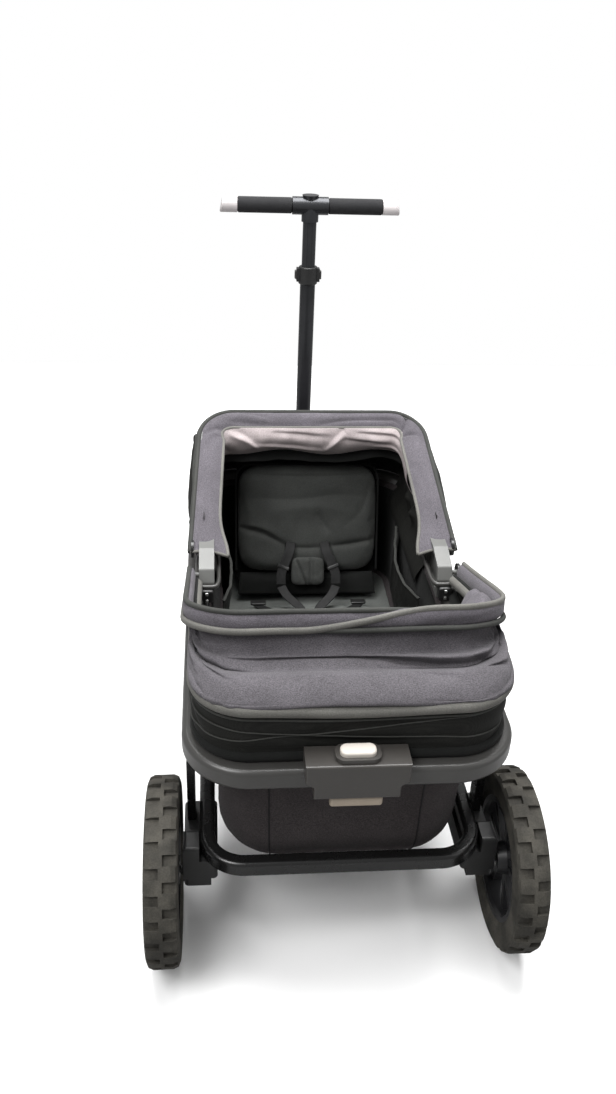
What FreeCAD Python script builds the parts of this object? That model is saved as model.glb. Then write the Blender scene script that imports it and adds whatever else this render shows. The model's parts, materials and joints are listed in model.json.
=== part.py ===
"""Wagon-style pet stroller: wheels, collapsing frame, T-handle, canopies, seat.

Millimetres. +Z up, the floor at z = 0, the origin below the middle of the wagon.
X runs across the wagon, and +Y runs towards the T-handle end.
"""
import FreeCAD, Part
import math
import os

os.makedirs("parts", exist_ok=True)
V = FreeCAD.Vector
X_AXIS, Y_AXIS, Z_AXIS = V(1, 0, 0), V(0, 1, 0), V(0, 0, 1)
SIDES = {"left": -1, "right": 1}

# Driving dimensions
WHEEL_R = 155.4          # free radius, the tyre stands on a small flat patch
AXLE_Z = 155.0
WHEEL_TRACK = 589.0
TYRE_W = 54.0
NEAR_AXLE_Y = -430.0

RING_HALF_W = 260.0      # upper frame: rounded ring of moulded bumper and rails
RING_HALF_L = 521.0
RING_W = 38.0
RING_Z0, RING_Z1 = 412.0, 449.0
RING_CORNER = 105.0

LOOP_HALF_W = 236.0      # lower frame: closed tube loop
LOOP_HALF_L = 488.0
LOOP_W = 26.0
LOOP_Z0, LOOP_Z1 = 192.0, 222.0
LOOP_CORNER = 75.0

TUB_HALF_W, TUB_HALF_L = 204.0, 452.0
TUB_Z1 = 408.0
FOOTWELL_Z, SEAT_Z = 156.0, 203.0
FOOTWELL_ROUND = 55.0    # the footwell's lower edges
CLOTH = 4.0

NEAR_PIVOT, FAR_PIVOT = (-42.0, 494.0), (25.0, 510.0)   # canopy bow pivots on the mid posts
BOW_LEN, BOW_HALF_W = 360.0, 251.0
FAR_BOW_END_HALF_W = 232.0         # the far bow narrows towards its closed end
NEAR_TILT, FAR_TILT = 20.5, 20.5   # canopy bows above level, at rest

CASTER_R, CASTER_W = 80.0, 30.0
CASTER_X, CASTER_Y, CASTER_TRAIL = 215.0, 385.0, 35.0
CASTER_TOP_Z = LOOP_Z0 - 3.5       # top of the swivel fork's crown

HANDLE_Z0, HANDLE_Z1 = 200.0, 1030.0   # pivot height and grip height
HANDLE_TOP_Y = 566.9
HANDLE_SLOPE = 0.0343
TUBE_R, INNER_TUBE_R = 16.5, 14.5
GRIP_HALF = 192.0

SEAT_PIVOT_Y, SEAT_PIVOT_Z, SEAT_LEAN = 335.0, 232.0, 18.0
RUN_FIT = 0.05           # radial clearance of turning pins


def box(x0, x1, y0, y1, z0, z1):
    return Part.makeBox(x1 - x0, y1 - y0, z1 - z0, V(x0, y0, z0))


def rod(radius, start, end):
    start, end = V(*start), V(*end)
    return Part.makeCylinder(radius, (end - start).Length, start, end - start)


def rounded_prism(half_w, y0, y1, z0, z1, corner):
    """A prism with a rounded-rectangle plan."""
    solid = box(-half_w, half_w, y0, y1, z0, z1)
    upright = [e for e in solid.Edges if abs(e.Vertexes[0].Z - e.Vertexes[-1].Z) > 1]
    return solid.makeFillet(corner, upright)


def level_edges(solid, levels):
    """The edges that lie wholly at one of the given heights."""
    found = []
    for edge in solid.Edges:
        bounds = edge.BoundBox
        flat = bounds.ZLength < 0.01
        if flat and any(abs(bounds.ZMin - z) < 0.01 for z in levels):
            found.append(edge)
    return found


def frame_ring(half_w, half_l, width, z0, z1, corner, round_off):
    """A closed rounded-rectangle frame of a rounded section."""
    outer = rounded_prism(half_w, -half_l, half_l, z0, z1, corner)
    inner = rounded_prism(half_w - width, -half_l + width, half_l - width,
                          z0 - 1, z1 + 1, corner - width)
    ring = outer.cut(inner)
    return ring.makeFillet(round_off, level_edges(ring, (z0, z1)))


def softened(solid, radius, levels=None):
    """All edges rounded, or only those at the given heights."""
    edges = solid.Edges if levels is None else level_edges(solid, levels)
    return solid.makeFillet(radius, edges)


def end_rounded(solid, radius, x):
    """The edges that lie at one x rounded."""
    edges = [e for e in solid.Edges if abs(e.BoundBox.XMin - x) + abs(e.BoundBox.XMax - x) < 0.02]
    return solid.makeFillet(radius, edges)


def tilted(shape, y, z, degrees):
    """Turned about the line along X through (y, z)."""
    turned = shape.copy()
    turned.rotate(V(0, y, z), X_AXIS, degrees)
    return turned


def mirrored(shape):
    return shape.mirror(V(0, 0, 0), X_AXIS)


def on_side(shape, side):
    """A shape made for +X, put on the named side."""
    return shape if SIDES[side] > 0 else mirrored(shape)


def pair(shape):
    return Part.makeCompound([shape, mirrored(shape)])


def save(name, shape):
    shape.exportStep("parts/" + name + ".step")


# Lower frame

SCISSOR_LEN = 460.0
SCISSOR_Y = -215.0
SCISSOR_LOW_Z = (LOOP_Z0 + LOOP_Z1) / 2
SCISSOR_HIGH_Z = 398.0
SCISSOR_RISE = SCISSOR_HIGH_Z - SCISSOR_LOW_Z
SCISSOR_ANGLE = math.asin(SCISSOR_RISE / SCISSOR_LEN)
SCISSOR_SPAN = SCISSOR_LEN * math.cos(SCISSOR_ANGLE)
SCISSOR_PIN_R = 4.0
SLOT_TRAVEL = 40.0
SLOT_HALF_H = 6.0
GUIDE_X, GUIDE_Y = 250.0, -340.0   # posts that keep the upper frame square as it drops
GUIDE_HALF_W, GUIDE_HALF_L = 6.8, 14.8
GUIDE_FOOT_Z = 165.0
SLIDE_FIT = 0.2


def slot_cutter(x0, x1, z):
    """A long hole for a sliding scissor pin, at the height z."""
    y0 = SCISSOR_Y + SCISSOR_SPAN
    y1 = y0 + SLOT_TRAVEL
    ends = [rod(SLOT_HALF_H, (x0, y, z), (x1, y, z)) for y in (y0, y1)]
    return box(x0, x1, y0, y1, z - SLOT_HALF_H, z + SLOT_HALF_H).fuse(ends)


def lower_loop():
    loop = frame_ring(LOOP_HALF_W, LOOP_HALF_L, LOOP_W, LOOP_Z0, LOOP_Z1, LOOP_CORNER, 8)
    hole = rod(SCISSOR_PIN_R + RUN_FIT, (225, SCISSOR_Y, SCISSOR_LOW_Z),
               (240, SCISSOR_Y, SCISSOR_LOW_Z))
    slot = slot_cutter(225, 240, SCISSOR_LOW_Z)
    stem = rod(7.6, (CASTER_X, CASTER_Y, LOOP_Z0 - 10), (CASTER_X, CASTER_Y, LOOP_Z1 + 10))
    for cutter in (hole, slot, stem):
        loop = loop.cut([cutter, mirrored(cutter)])
    return loop


def floor_boards():
    footwell = rounded_prism(142, -394, -78, 161, 167, 40)
    seat = rounded_prism(188, 6, 438, 208, 214, 50)
    return Part.makeCompound([footwell, seat])


def tub_form(shrink):
    """The tub's volume: a deep footwell at the near end and a raised seat floor."""
    half = TUB_HALF_W - shrink
    top = TUB_Z1 + shrink
    deep = rounded_prism(half, -TUB_HALF_L + shrink, -20 - shrink, FOOTWELL_Z + shrink, top, 58 - shrink)
    deep = deep.makeFillet(FOOTWELL_ROUND - shrink, level_edges(deep, (FOOTWELL_Z + shrink,)))
    high = rounded_prism(half, -120 + shrink, TUB_HALF_L - shrink, SEAT_Z + shrink, top, 58 - shrink)
    return deep.fuse(high).removeSplitter()


def tub_shell():
    return tub_form(0).cut(tub_form(CLOTH))


def seat_pad():
    pad = rounded_prism(172, 16, 262, 214.3, 228, 30)
    return pad.makeFillet(5, level_edges(pad, (228,)))


def guide_bar(fit, z0, z1):
    """A guide post's bar, or with a fit the hole that it slides in."""
    half_w, half_l = GUIDE_HALF_W + fit, GUIDE_HALF_L + fit
    return box(GUIDE_X - half_w, GUIDE_X + half_w, GUIDE_Y - half_l, GUIDE_Y + half_l, z0, z1)


def near_bracket(loop):
    """Carries a near wheel: a block below the loop, and an upright part outside it."""
    block = box(206, 262, -450, -310, 136, LOOP_Z0 - 0.5)
    block = block.cut(box(200, 217, -460, -300, 130, 152))
    upright = [e for e in block.Edges if e.BoundBox.ZLength > 30 and e.BoundBox.XLength < 1]
    block = block.makeFillet(8, upright)
    outside = box(LOOP_HALF_W + 0.3, 263, -450, -405, 150, LOOP_Z1 - 2)
    top = [e for e in outside.Edges if e.BoundBox.ZMin > LOOP_Z1 - 3 and e.BoundBox.XMax > 262]
    boss = rod(20, (236, NEAR_AXLE_Y, AXLE_Z), (264, NEAR_AXLE_Y, AXLE_Z))
    block = block.fuse([outside.makeFillet(6, top), boss])
    guide = guide_bar(SLIDE_FIT, 100, 270)
    axle = rod(6, (202, NEAR_AXLE_Y, AXLE_Z), (270, NEAR_AXLE_Y, AXLE_Z))
    return block.cut([guide, axle, loop]).removeSplitter()


def stub_axle():
    shank = rod(6, (226, NEAR_AXLE_Y, AXLE_Z), (311, NEAR_AXLE_Y, AXLE_Z))
    return shank.fuse(rod(9, (264.2, NEAR_AXLE_Y, AXLE_Z), (267.5, NEAR_AXLE_Y, AXLE_Z)))


def caster_housing(loop):
    top = CASTER_TOP_Z + 54
    shell = rod(25, (CASTER_X, CASTER_Y, CASTER_TOP_Z + 0.5), (CASTER_X, CASTER_Y, top))
    shell = softened(shell, 5, (top,))
    shell = shell.cut(box(180, TUB_HALF_W + 1.5, 340, 430, CASTER_TOP_Z, top + 5))
    bore = rod(7 + RUN_FIT, (CASTER_X, CASTER_Y, CASTER_TOP_Z - 5), (CASTER_X, CASTER_Y, top - 6))
    return shell.cut([loop, bore]).removeSplitter()


def handle_y(z):
    """Where the leaning pole's axis stands at the height z."""
    return HANDLE_TOP_Y + HANDLE_SLOPE * (z - HANDLE_Z1)


def handle_bracket():
    y = handle_y(HANDLE_Z0)
    body = box(-34, 34, LOOP_HALF_L, 512, LOOP_Z0 - 8, LOOP_Z1 + 8)
    ears = []
    for side in (-1, 1):
        x0, x1 = sorted((side * 17.5, side * 25))
        ears.append(box(x0, x1, 505, y, 184, 222))
        ears.append(rod(19, (x0, y, 203), (x1, y, 203)))
    hole = rod(5, (-40, y, HANDLE_Z0), (40, y, HANDLE_Z0))
    return body.fuse(ears).cut(hole).removeSplitter()


def handle_pivot_pin():
    y = handle_y(HANDLE_Z0)
    pin = rod(5, (-25, y, HANDLE_Z0), (25, y, HANDLE_Z0))
    heads = [rod(9, (side * 25, y, HANDLE_Z0), (side * 29, y, HANDLE_Z0)) for side in (-1, 1)]
    return pin.fuse(heads)


def seat_hinge():
    y, z = SEAT_PIVOT_Y, SEAT_PIVOT_Z
    cheek = box(140, 150, y - 10, y + 10, 214, z).fuse(rod(10, (140, y, z), (150, y, z)))
    return rod(5, (-150, y, z), (150, y, z)).fuse([cheek, mirrored(cheek)]).removeSplitter()


# Upper frame

def ring_with_sections():
    ring = frame_ring(RING_HALF_W, RING_HALF_L, RING_W, RING_Z0, RING_Z1, RING_CORNER, 9)
    split = 300.0
    near = ring.common(box(-300, 300, -600, -split, 400, 460))
    far = ring.common(box(-300, 300, split, 600, 400, 460))
    rail = ring.common(box(0, 300, -split, split, 400, 460))
    return near, far, rail


def side_rail(rail):
    """A straight rail with the hanging flange that carries the scissor links."""
    flange = box(250.5, 256.5, -242, 272, 384, 420)
    hole = rod(SCISSOR_PIN_R + RUN_FIT, (248, SCISSOR_Y, SCISSOR_HIGH_Z), (258, SCISSOR_Y, SCISSOR_HIGH_Z))
    rail = rail.fuse(flange).removeSplitter()
    return rail.cut([hole, slot_cutter(248, 258, SCISSOR_HIGH_Z)])


def guide_post():
    return guide_bar(0, GUIDE_FOOT_Z, RING_Z0)


def post_plate(inset, x0, x1, corner):
    """A plate on the side outline of the mid post, higher at the far bow's pivot."""
    outline = [(-58, 449), (-58, 486), (-46, 509), (6, 523), (44, 523), (58, 503), (58, 449)]
    centre_y, centre_z = 0.0, 484.0
    points = []
    for y, z in outline:
        y -= math.copysign(inset, y - centre_y)
        z -= math.copysign(inset, z - centre_z)
        points.append(V(x0, y, z))
    plate = Part.Face(Part.makePolygon(points + points[:1])).extrude(V(x1 - x0, 0, 0))
    rounded = [e for e in plate.Edges if e.BoundBox.XLength > 1 and e.BoundBox.ZMin > RING_Z1 + inset + 1]
    return plate.makeFillet(corner, rounded)


def mid_post():
    """Grey cheek plate on the rail, hollowed inside, with a pivot pin for each canopy bow."""
    post = post_plate(0, 208, 236, 7).cut(post_plate(10, 200, 216, 4))
    hubs = [rod(11, (210, y, z), (217, y, z)) for y, z in (NEAR_PIVOT, FAR_PIVOT)]
    hubs = [hub.common(post_plate(2, 200, 236, 5)) for hub in hubs]
    pins = [rod(5, (235, y, z), (254, y, z)) for y, z in (NEAR_PIVOT, FAR_PIVOT)]
    return post.fuse(hubs + pins).removeSplitter()


def scissor_bar(x0, x1, y0, z0, y1, z1):
    """A flat link between two points, with round ends."""
    length = math.hypot(y1 - y0, z1 - z0)
    bar = box(x0, x1, 0, length, -10, 10)
    bar = bar.fuse([rod(10, (x0, y, 0), (x1, y, 0)) for y in (0, length)]).removeSplitter()
    bar.rotate(V(0, 0, 0), X_AXIS, math.degrees(math.atan2(z1 - z0, y1 - y0)))
    bar.translate(V(0, y0, z0))
    return bar


def scissor_outer():
    """Turns on a pin in the lower rail and slides in the upper flange."""
    far_y = SCISSOR_Y + SCISSOR_SPAN
    mid_y, mid_z = (SCISSOR_Y + far_y) / 2, (SCISSOR_LOW_Z + SCISSOR_HIGH_Z) / 2
    bar = scissor_bar(244.5, 248.5, SCISSOR_Y, SCISSOR_LOW_Z, far_y, SCISSOR_HIGH_Z)
    low = rod(SCISSOR_PIN_R, (226, SCISSOR_Y, SCISSOR_LOW_Z), (246, SCISSOR_Y, SCISSOR_LOW_Z))
    high = rod(SCISSOR_PIN_R, (246, far_y, SCISSOR_HIGH_Z), (256, far_y, SCISSOR_HIGH_Z))
    cross = rod(3, (238, mid_y, mid_z), (246, mid_y, mid_z))
    return pair(bar.fuse([low, high, cross]).removeSplitter())


def scissor_inner():
    """Turns on a pin in the upper flange and slides in the lower rail."""
    far_y = SCISSOR_Y + SCISSOR_SPAN
    mid_y, mid_z = (SCISSOR_Y + far_y) / 2, (SCISSOR_LOW_Z + SCISSOR_HIGH_Z) / 2
    bar = scissor_bar(238.5, 242.5, SCISSOR_Y, SCISSOR_HIGH_Z, far_y, SCISSOR_LOW_Z)
    high = rod(SCISSOR_PIN_R, (240, SCISSOR_Y, SCISSOR_HIGH_Z), (256, SCISSOR_Y, SCISSOR_HIGH_Z))
    low = rod(SCISSOR_PIN_R, (228, far_y, SCISSOR_LOW_Z), (240, far_y, SCISSOR_LOW_Z))
    cross_hole = rod(4.7, (230, mid_y, mid_z), (243, mid_y, mid_z))
    return pair(bar.fuse([high, low]).cut(cross_hole).removeSplitter())


LATCH_FRONT, LATCH_BACK = -546.0, -499.0
LATCH_BOTTOM, LATCH_TOP = 415.0, 478.0


def latch_housing():
    """Moulded cover of the frame latch, hooked over the near bumper."""
    outline = [(-65, LATCH_BOTTOM), (65, LATCH_BOTTOM), (65, 436), (78, 446), (78, LATCH_TOP),
               (-78, LATCH_TOP), (-78, 446), (-65, 436), (-65, LATCH_BOTTOM)]
    wire = Part.makePolygon([V(x, LATCH_FRONT, z) for x, z in outline])
    cover = Part.Face(wire).extrude(V(0, LATCH_BACK - LATCH_FRONT, 0))
    front_edges = [e for e in cover.Edges if e.BoundBox.YMax < LATCH_FRONT + 0.1]
    cover = cover.makeFillet(4, front_edges)
    boss = rounded_prism(34, -541, -503.5, LATCH_TOP - 2, 486, 14)
    cover = cover.fuse(boss)
    ring_space = box(-90, 90, -521.2, -480, 400, RING_Z1 + 0.2)
    button_space = rounded_prism(27.4, -535.4, -509.6, 470, 490, 11)
    lever_space = box(-41.5, 41.5, -542, -525.5, 410, 438)
    return cover.cut([ring_space, button_space, lever_space]).removeSplitter()


def latch_button():
    button = rounded_prism(27, -535, -510, 475, 494, 11)
    return button.makeFillet(4, level_edges(button, (494,)))


def squeeze_lever():
    bar = softened(box(-40, 40, -541, -527, 394, 413), 5)
    stems = [box(x - 4, x + 4, -538, -530, 408, 428) for x in (-22, 22)]
    return bar.fuse(stems).removeSplitter()


def mesh_band():
    """Upright mesh wall on the near half of the ring."""
    outer = rounded_prism(241, -496, 100, 450, 545, 84)
    inner = rounded_prism(238, -493, 103, 449, 546, 81)
    wall = outer.cut(inner).cut(box(-260, 260, -52, 200, 440, 560))
    slope = box(-260, 260, 0, 400, 0, 100)
    slope.rotate(V(0, 0, 0), X_AXIS, -6)
    slope.translate(V(0, -440, 545))
    return wall.cut(slope)


# Near wheels

TREAD_COUNT = 24
TREAD_DEPTH = 7.0
TREAD_GAP = 17.0
RIM_R = 106.0


def revolved(profile, x_shift, y, z):
    """Turn an (x, radius) outline about a line along X."""
    wire = Part.makePolygon([V(x, 0, r) for x, r in profile] + [V(profile[0][0], 0, profile[0][1])])
    solid = Part.Face(wire).revolve(V(0, 0, 0), X_AXIS, 360)
    solid.translate(V(x_shift, y, z))
    return solid


def tyre_blank(radius, inner, width, shoulder):
    half = width / 2
    profile = [(-half + 4, inner), (-half, inner + 8), (-half, radius - shoulder),
               (-half + shoulder * 0.3, radius - shoulder * 0.3), (-half + shoulder, radius),
               (half - shoulder, radius), (half - shoulder * 0.3, radius - shoulder * 0.3),
               (half, radius - shoulder), (half, inner + 8), (half - 4, inner)]
    return revolved(profile, 0, 0, 0)


def near_tyre():
    """Air tyre with two staggered rows of blocks, moulded for x = 0."""
    tyre = tyre_blank(WHEEL_R, RIM_R, TYRE_W, 11)
    gaps = []
    for row in (-1, 1):
        for number in range(TREAD_COUNT):
            turn = 360.0 / TREAD_COUNT * (number + (0.5 if row > 0 else 0.0)) + 7.5
            x0, x1 = sorted((row * 3.0, row * 30.0))
            gap = box(x0, x1, -TREAD_GAP / 2, TREAD_GAP / 2, WHEEL_R - TREAD_DEPTH, WHEEL_R + 5)
            gap.rotate(V(0, 0, 0), X_AXIS, turn)
            gaps.append(gap)
    tyre = tyre.cut(gaps)
    return tyre.cut(box(-40, 40, -40, 40, -WHEEL_R - 10, -AXLE_Z))


def near_rim():
    """Moulded rim with five pairs of slanted spokes, for x = 0, outside towards +X."""
    band = revolved([(-23, RIM_R), (-23, 97), (-17, 94), (17, 94), (23, 97), (23, RIM_R)], 0, 0, 0)
    hub = revolved([(-25, 13), (-25, 24), (-10, 28), (17, 28), (24, 23), (24, 13)], 0, 0, 0)
    solids = [hub]
    for number in range(5):
        for lean in (-1, 1):
            spoke = box(-9, 9, -5.5, 5.5, 22, 98)
            spoke.rotate(V(0, 0, 22), X_AXIS, 7.0 * lean)
            spoke.rotate(V(0, 0, 0), X_AXIS, 72.0 * number + 9.0 * lean)
            solids.append(spoke)
    rim = band.fuse(solids)
    cap = end_rounded(rod(24, (22, 0, 0), (29, 0, 0)), 3, 29)
    rim = rim.fuse(cap)
    bore = rod(13, (-30, 0, 0), (20, 0, 0))
    button_bore = rod(9.3, (15, 0, 0), (40, 0, 0))
    return rim.cut([bore, button_bore]).removeSplitter()


def near_bearings():
    rings = [rod(13, (x, 0, 0), (x + 8, 0, 0)).cut(rod(6 + RUN_FIT, (x - 1, 0, 0), (x + 9, 0, 0)))
             for x in (-25, 5)]
    return Part.makeCompound(rings)


def near_hub_button():
    return end_rounded(rod(9, (21, 0, 0), (32, 0, 0)), 1.5, 32)


# Casters

CASTER_RIM_R = 57.0


def caster_fork():
    """Swivel fork for the caster at x = 0, swivel axis at y = 0, wheel trailing to -Y."""
    crown = rod(23, (0, 0, CASTER_TOP_Z - 18), (0, 0, CASTER_TOP_Z))
    stem = rod(7, (0, 0, CASTER_TOP_Z - 8), (0, 0, CASTER_TOP_Z + 47))
    legs = []
    for side in (-1, 1):
        x0, x1 = sorted((side * 17.5, side * 23))
        leg = box(x0, x1, -14, 14, 0, CASTER_TOP_Z - CASTER_R)
        leg.rotate(V(0, 0, 0), X_AXIS, -19)
        leg.translate(V(0, -CASTER_TRAIL, CASTER_R))
        legs += [leg, rod(14, (x0, -CASTER_TRAIL, CASTER_R), (x1, -CASTER_TRAIL, CASTER_R))]
    fork = crown.fuse(legs).cut(box(-40, 40, -80, 80, CASTER_TOP_Z, 300))
    fork = fork.cut(rod(CASTER_R + 4, (-17.5, -CASTER_TRAIL, CASTER_R), (17.5, -CASTER_TRAIL, CASTER_R)))
    bore = rod(4, (-30, -CASTER_TRAIL, CASTER_R), (30, -CASTER_TRAIL, CASTER_R))
    return fork.fuse(stem).cut(bore).removeSplitter()


def caster_tyre():
    tyre = tyre_blank(CASTER_R, CASTER_RIM_R, CASTER_W, 8)
    ribs = [revolved([(x - 1.2, CASTER_R + 1), (x - 1.2, CASTER_R - 2.5), (x + 1.2, CASTER_R - 2.5),
                      (x + 1.2, CASTER_R + 1)], 0, 0, 0) for x in (-4.5, 4.5)]
    return tyre.cut(ribs)


def caster_rim():
    inner = CASTER_RIM_R - 7
    band = revolved([(-13, CASTER_RIM_R), (-13, inner), (13, inner), (13, CASTER_RIM_R)], 0, 0, 0)
    hub = rod(14, (-16, 0, 0), (16, 0, 0))
    spokes = []
    for number in range(5):
        spoke = box(-6, 6, -6, 6, 10, inner + 3)
        spoke.rotate(V(0, 0, 0), X_AXIS, 72.0 * number)
        spokes.append(spoke)
    return band.fuse([hub] + spokes).cut(rod(4 + RUN_FIT, (-20, 0, 0), (20, 0, 0))).removeSplitter()


def caster_axle():
    pin = rod(4, (-23, 0, 0), (23, 0, 0))
    return pin.fuse([rod(7, (side * 23, 0, 0), (side * 28, 0, 0)) for side in (-1, 1)])


# T-handle, made upright over its pivot and then leaned

COLLAR_Z0, COLLAR_Z1 = 866.0, 904.0


def handle_lower_tube():
    tube = rod(TUBE_R, (0, 0, 184), (0, 0, COLLAR_Z0 + 6))
    tube = tube.cut(rod(INNER_TUBE_R + 0.15, (0, 0, 222), (0, 0, 960)))
    return tube.cut(rod(5 + RUN_FIT, (-30, 0, HANDLE_Z0), (30, 0, HANDLE_Z0)))


def handle_collar():
    ring = rod(20.5, (0, 0, COLLAR_Z0), (0, 0, COLLAR_Z1))
    ring = ring.makeFillet(3, level_edges(ring, (COLLAR_Z0, COLLAR_Z1)))
    lugs = box(-25, 25, -9, 9, 872, 900)
    ring = ring.fuse(lugs).removeSplitter()
    inside = rod(INNER_TUBE_R + 0.15, (0, 0, 850), (0, 0, 920))
    step = rod(TUBE_R, (0, 0, 850), (0, 0, COLLAR_Z0 + 6))
    pockets = [box(side * 25 - 6, side * 25 + 6, -6.3, 6.3, 876.7, 895.3) for side in (-1, 1)]
    return ring.cut([inside, step] + pockets)


def collar_button():
    """Side release button, for +X."""
    return softened(box(22, 29, -6, 6, 877, 895), 1.5)


def handle_upper_tube():
    tube = rod(INNER_TUBE_R, (0, 0, 330), (0, 0, 1012)).cut(rod(12.5, (0, 0, 320), (0, 0, 1020)))
    grooves = [box(x - 1.2, x + 1.2, -16, -INNER_TUBE_R + 1.6, 320, 1020) for x in (-5, 5)]
    return tube.cut(grooves)


def handle_tee():
    """Joint casting with the grip's core tube."""
    socket = rod(18, (0, 0, 998), (0, 0, 1026))
    sleeve = rod(18.4, (-38, 0, HANDLE_Z1), (38, 0, HANDLE_Z1))
    crown = Part.makeCone(14, 17.6, 12, V(0, 0, 1040), Z_AXIS)
    core = rod(11, (-186, 0, HANDLE_Z1), (186, 0, HANDLE_Z1))
    tee = socket.fuse([sleeve, crown, core]).removeSplitter()
    return tee.cut(rod(INNER_TUBE_R, (0, 0, 990), (0, 0, 1012)))


def grip():
    """Foam sleeve for +X."""
    foam = rod(16.4, (38.2, 0, HANDLE_Z1), (154, 0, HANDLE_Z1))
    foam = foam.makeFillet(4, [e for e in foam.Edges if e.BoundBox.XLength < 0.1])
    return foam.cut(rod(11, (30, 0, HANDLE_Z1), (160, 0, HANDLE_Z1)))


def end_cap():
    """Pale cap for +X, with a slanted end."""
    cap = rod(16.2, (154.2, 0, HANDLE_Z1), (GRIP_HALF, 0, HANDLE_Z1))
    wedge = box(0, 40, -30, 30, -50, 50)
    wedge.rotate(V(0, 0, 0), Y_AXIS, -12)
    wedge.translate(V(GRIP_HALF - 4, 0, HANDLE_Z1))
    cap = cap.cut(wedge)
    cap = cap.makeFillet(3, [e for e in cap.Edges if e.BoundBox.XMin > 170])
    return cap.cut(rod(11, (150, 0, HANDLE_Z1), (186, 0, HANDLE_Z1)))


def leaned(shape):
    """From the upright build position to the leaning rest position."""
    moved = shape.copy()
    moved.rotate(V(0, 0, HANDLE_Z0), X_AXIS, -math.degrees(math.atan(HANDLE_SLOPE)))
    moved.translate(V(0, handle_y(HANDLE_Z0), 0))
    return moved


# Canopies

def bow_plan(half_w, end_half_w, length, corner, thick):
    """A flat plate that narrows from y = 0 to its rounded end at y = -length."""
    points = [V(-half_w, 0, -thick), V(-end_half_w, -length, -thick),
              V(end_half_w, -length, -thick), V(half_w, 0, -thick)]
    plate = Part.Face(Part.makePolygon(points + points[:1])).extrude(V(0, 0, 2 * thick))
    corners = [e for e in plate.Edges if e.BoundBox.ZLength > thick and e.BoundBox.YMax < 1 - length]
    return plate.makeFillet(corner, corners)


def canopy_bow(direction, pivot, tilt, end_half_w, corner):
    """A flat U-shaped bow that turns on the mid posts, reaching to -Y or +Y."""
    length = BOW_LEN + 6
    outer = bow_plan(BOW_HALF_W, end_half_w, length, corner, 7)
    inner = bow_plan(BOW_HALF_W - 5, end_half_w - 5, length - 6, corner - 6, 8)
    bow = outer.cut(inner)
    hub = rod(17, (BOW_HALF_W - 5, 0, 0), (BOW_HALF_W, 0, 0))
    hole = rod(5 + RUN_FIT, (240, 0, 0), (260, 0, 0))
    bow = bow.fuse([hub, mirrored(hub)]).cut([hole, mirrored(hole)]).removeSplitter()
    bow.rotate(V(0, 0, 0), X_AXIS, -tilt)
    if direction > 0:
        bow = bow.mirror(V(0, 0, 0), Y_AXIS)
    bow.translate(V(0, *pivot))
    return bow


def tapered_block(half_w0, y0, z0, half_w1, y1, z1, corner):
    """A loft from a large rounded plan up to a smaller one, both ending at y = 0."""
    def outline(half_w, y, z):
        return Part.Wire(Part.__sortEdges__(level_edges(
            rounded_prism(half_w, y, -y, z, z + 10, corner), (z,))))
    return Part.makeLoft([outline(half_w0, y0, z0), outline(half_w1, y1, z1)], True, True)


def near_canopy():
    """Cloth of the lowered near canopy, slumped between the mesh band and the bow."""
    outer = tapered_block(244, -500, 548, 243, -372, 612, 84)
    inner = tapered_block(240, -496, 547.9, 239, -366, 612.1, 80)
    wall = outer.cut(inner).cut(box(-260, 260, -60, 600, 500, 700))
    above = box(-300, 300, -700, 100, 0, 300)
    above.rotate(V(0, 0, 0), X_AXIS, -NEAR_TILT)
    above.translate(V(0, NEAR_PIVOT[0], NEAR_PIVOT[1] - 9))
    return wall.cut(above)


HOOD_HALF_W, HOOD_Z0, HOOD_SIDE_LEAN = 243.0, 452.0, 5.9


def hood_profile(inset):
    """Side outline (y, z) of the far canopy's cloth."""
    return [(60, HOOD_Z0 - inset * 3), (60, 500 - inset), (352, 610 - inset), (367, 624 - inset),
            (450 - inset, 586 - inset), (498 - inset, 525), (505 - inset, 470),
            (505 - inset, HOOD_Z0 - inset * 3)]


def hood_form(inset):
    """The hood's volume, with sides that lean in towards the top."""
    half_w = HOOD_HALF_W - inset
    points = [V(-half_w, y, z) for y, z in hood_profile(inset)]
    wire = Part.makePolygon(points + points[:1])
    outside = box(0, 100, -100, 700, -60, 300)
    outside.rotate(V(0, 0, 0), Y_AXIS, -HOOD_SIDE_LEAN)
    outside.translate(V(half_w, 0, HOOD_Z0))
    return Part.Face(wire).extrude(V(2 * half_w, 0, 0)).cut([outside, mirrored(outside)])


def far_canopy():
    """Cloth hood from the far bow down to the ring, open inside the bow and below."""
    inner = hood_form(CLOTH)
    mouth = inner.common(box(-300, 300, 50, 352, 400, 700))
    mouth.translate(V(0, -CLOTH * 2, CLOTH * 3))
    return hood_form(0).cut([inner, mouth]).removeSplitter()


# Seat and harness, made upright over the seat hinge and then leaned back

def seat_leaned(shape):
    moved = shape.copy()
    moved.translate(V(0, SEAT_PIVOT_Y, SEAT_PIVOT_Z))
    return tilted(moved, SEAT_PIVOT_Y, SEAT_PIVOT_Z, -SEAT_LEAN)


def seat_back_board():
    panel = box(-157, 157, -4, 4, 16, 280)
    panel = panel.fuse([box(x, x + 35, -4, 4, 6, 16) for x in (-135, 100)])
    knuckles = [rod(9, (x, 0, 0), (x + 35, 0, 0)) for x in (-135, 100)]
    hole = rod(5 + RUN_FIT, (-160, 0, 0), (160, 0, 0))
    return panel.fuse(knuckles).cut(hole).removeSplitter()


def seat_back_pad():
    pad = box(-164, 164, -44, -4.5, 32, 288)
    return softened(pad, 14)


def lumbar_cushion():
    pad = box(-38, 38, -66, -44.5, 12, 78)
    return softened(pad, 10)


def harness_straps():
    """Two shoulder straps on the front of the seat back."""
    strap = box(33, 54, -47, -44.4, 84, 130)
    return pair(strap)


def harness_buckle():
    buckle = box(-24, 24, 176, 210, 228.3, 242)
    return softened(buckle, 4)


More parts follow.
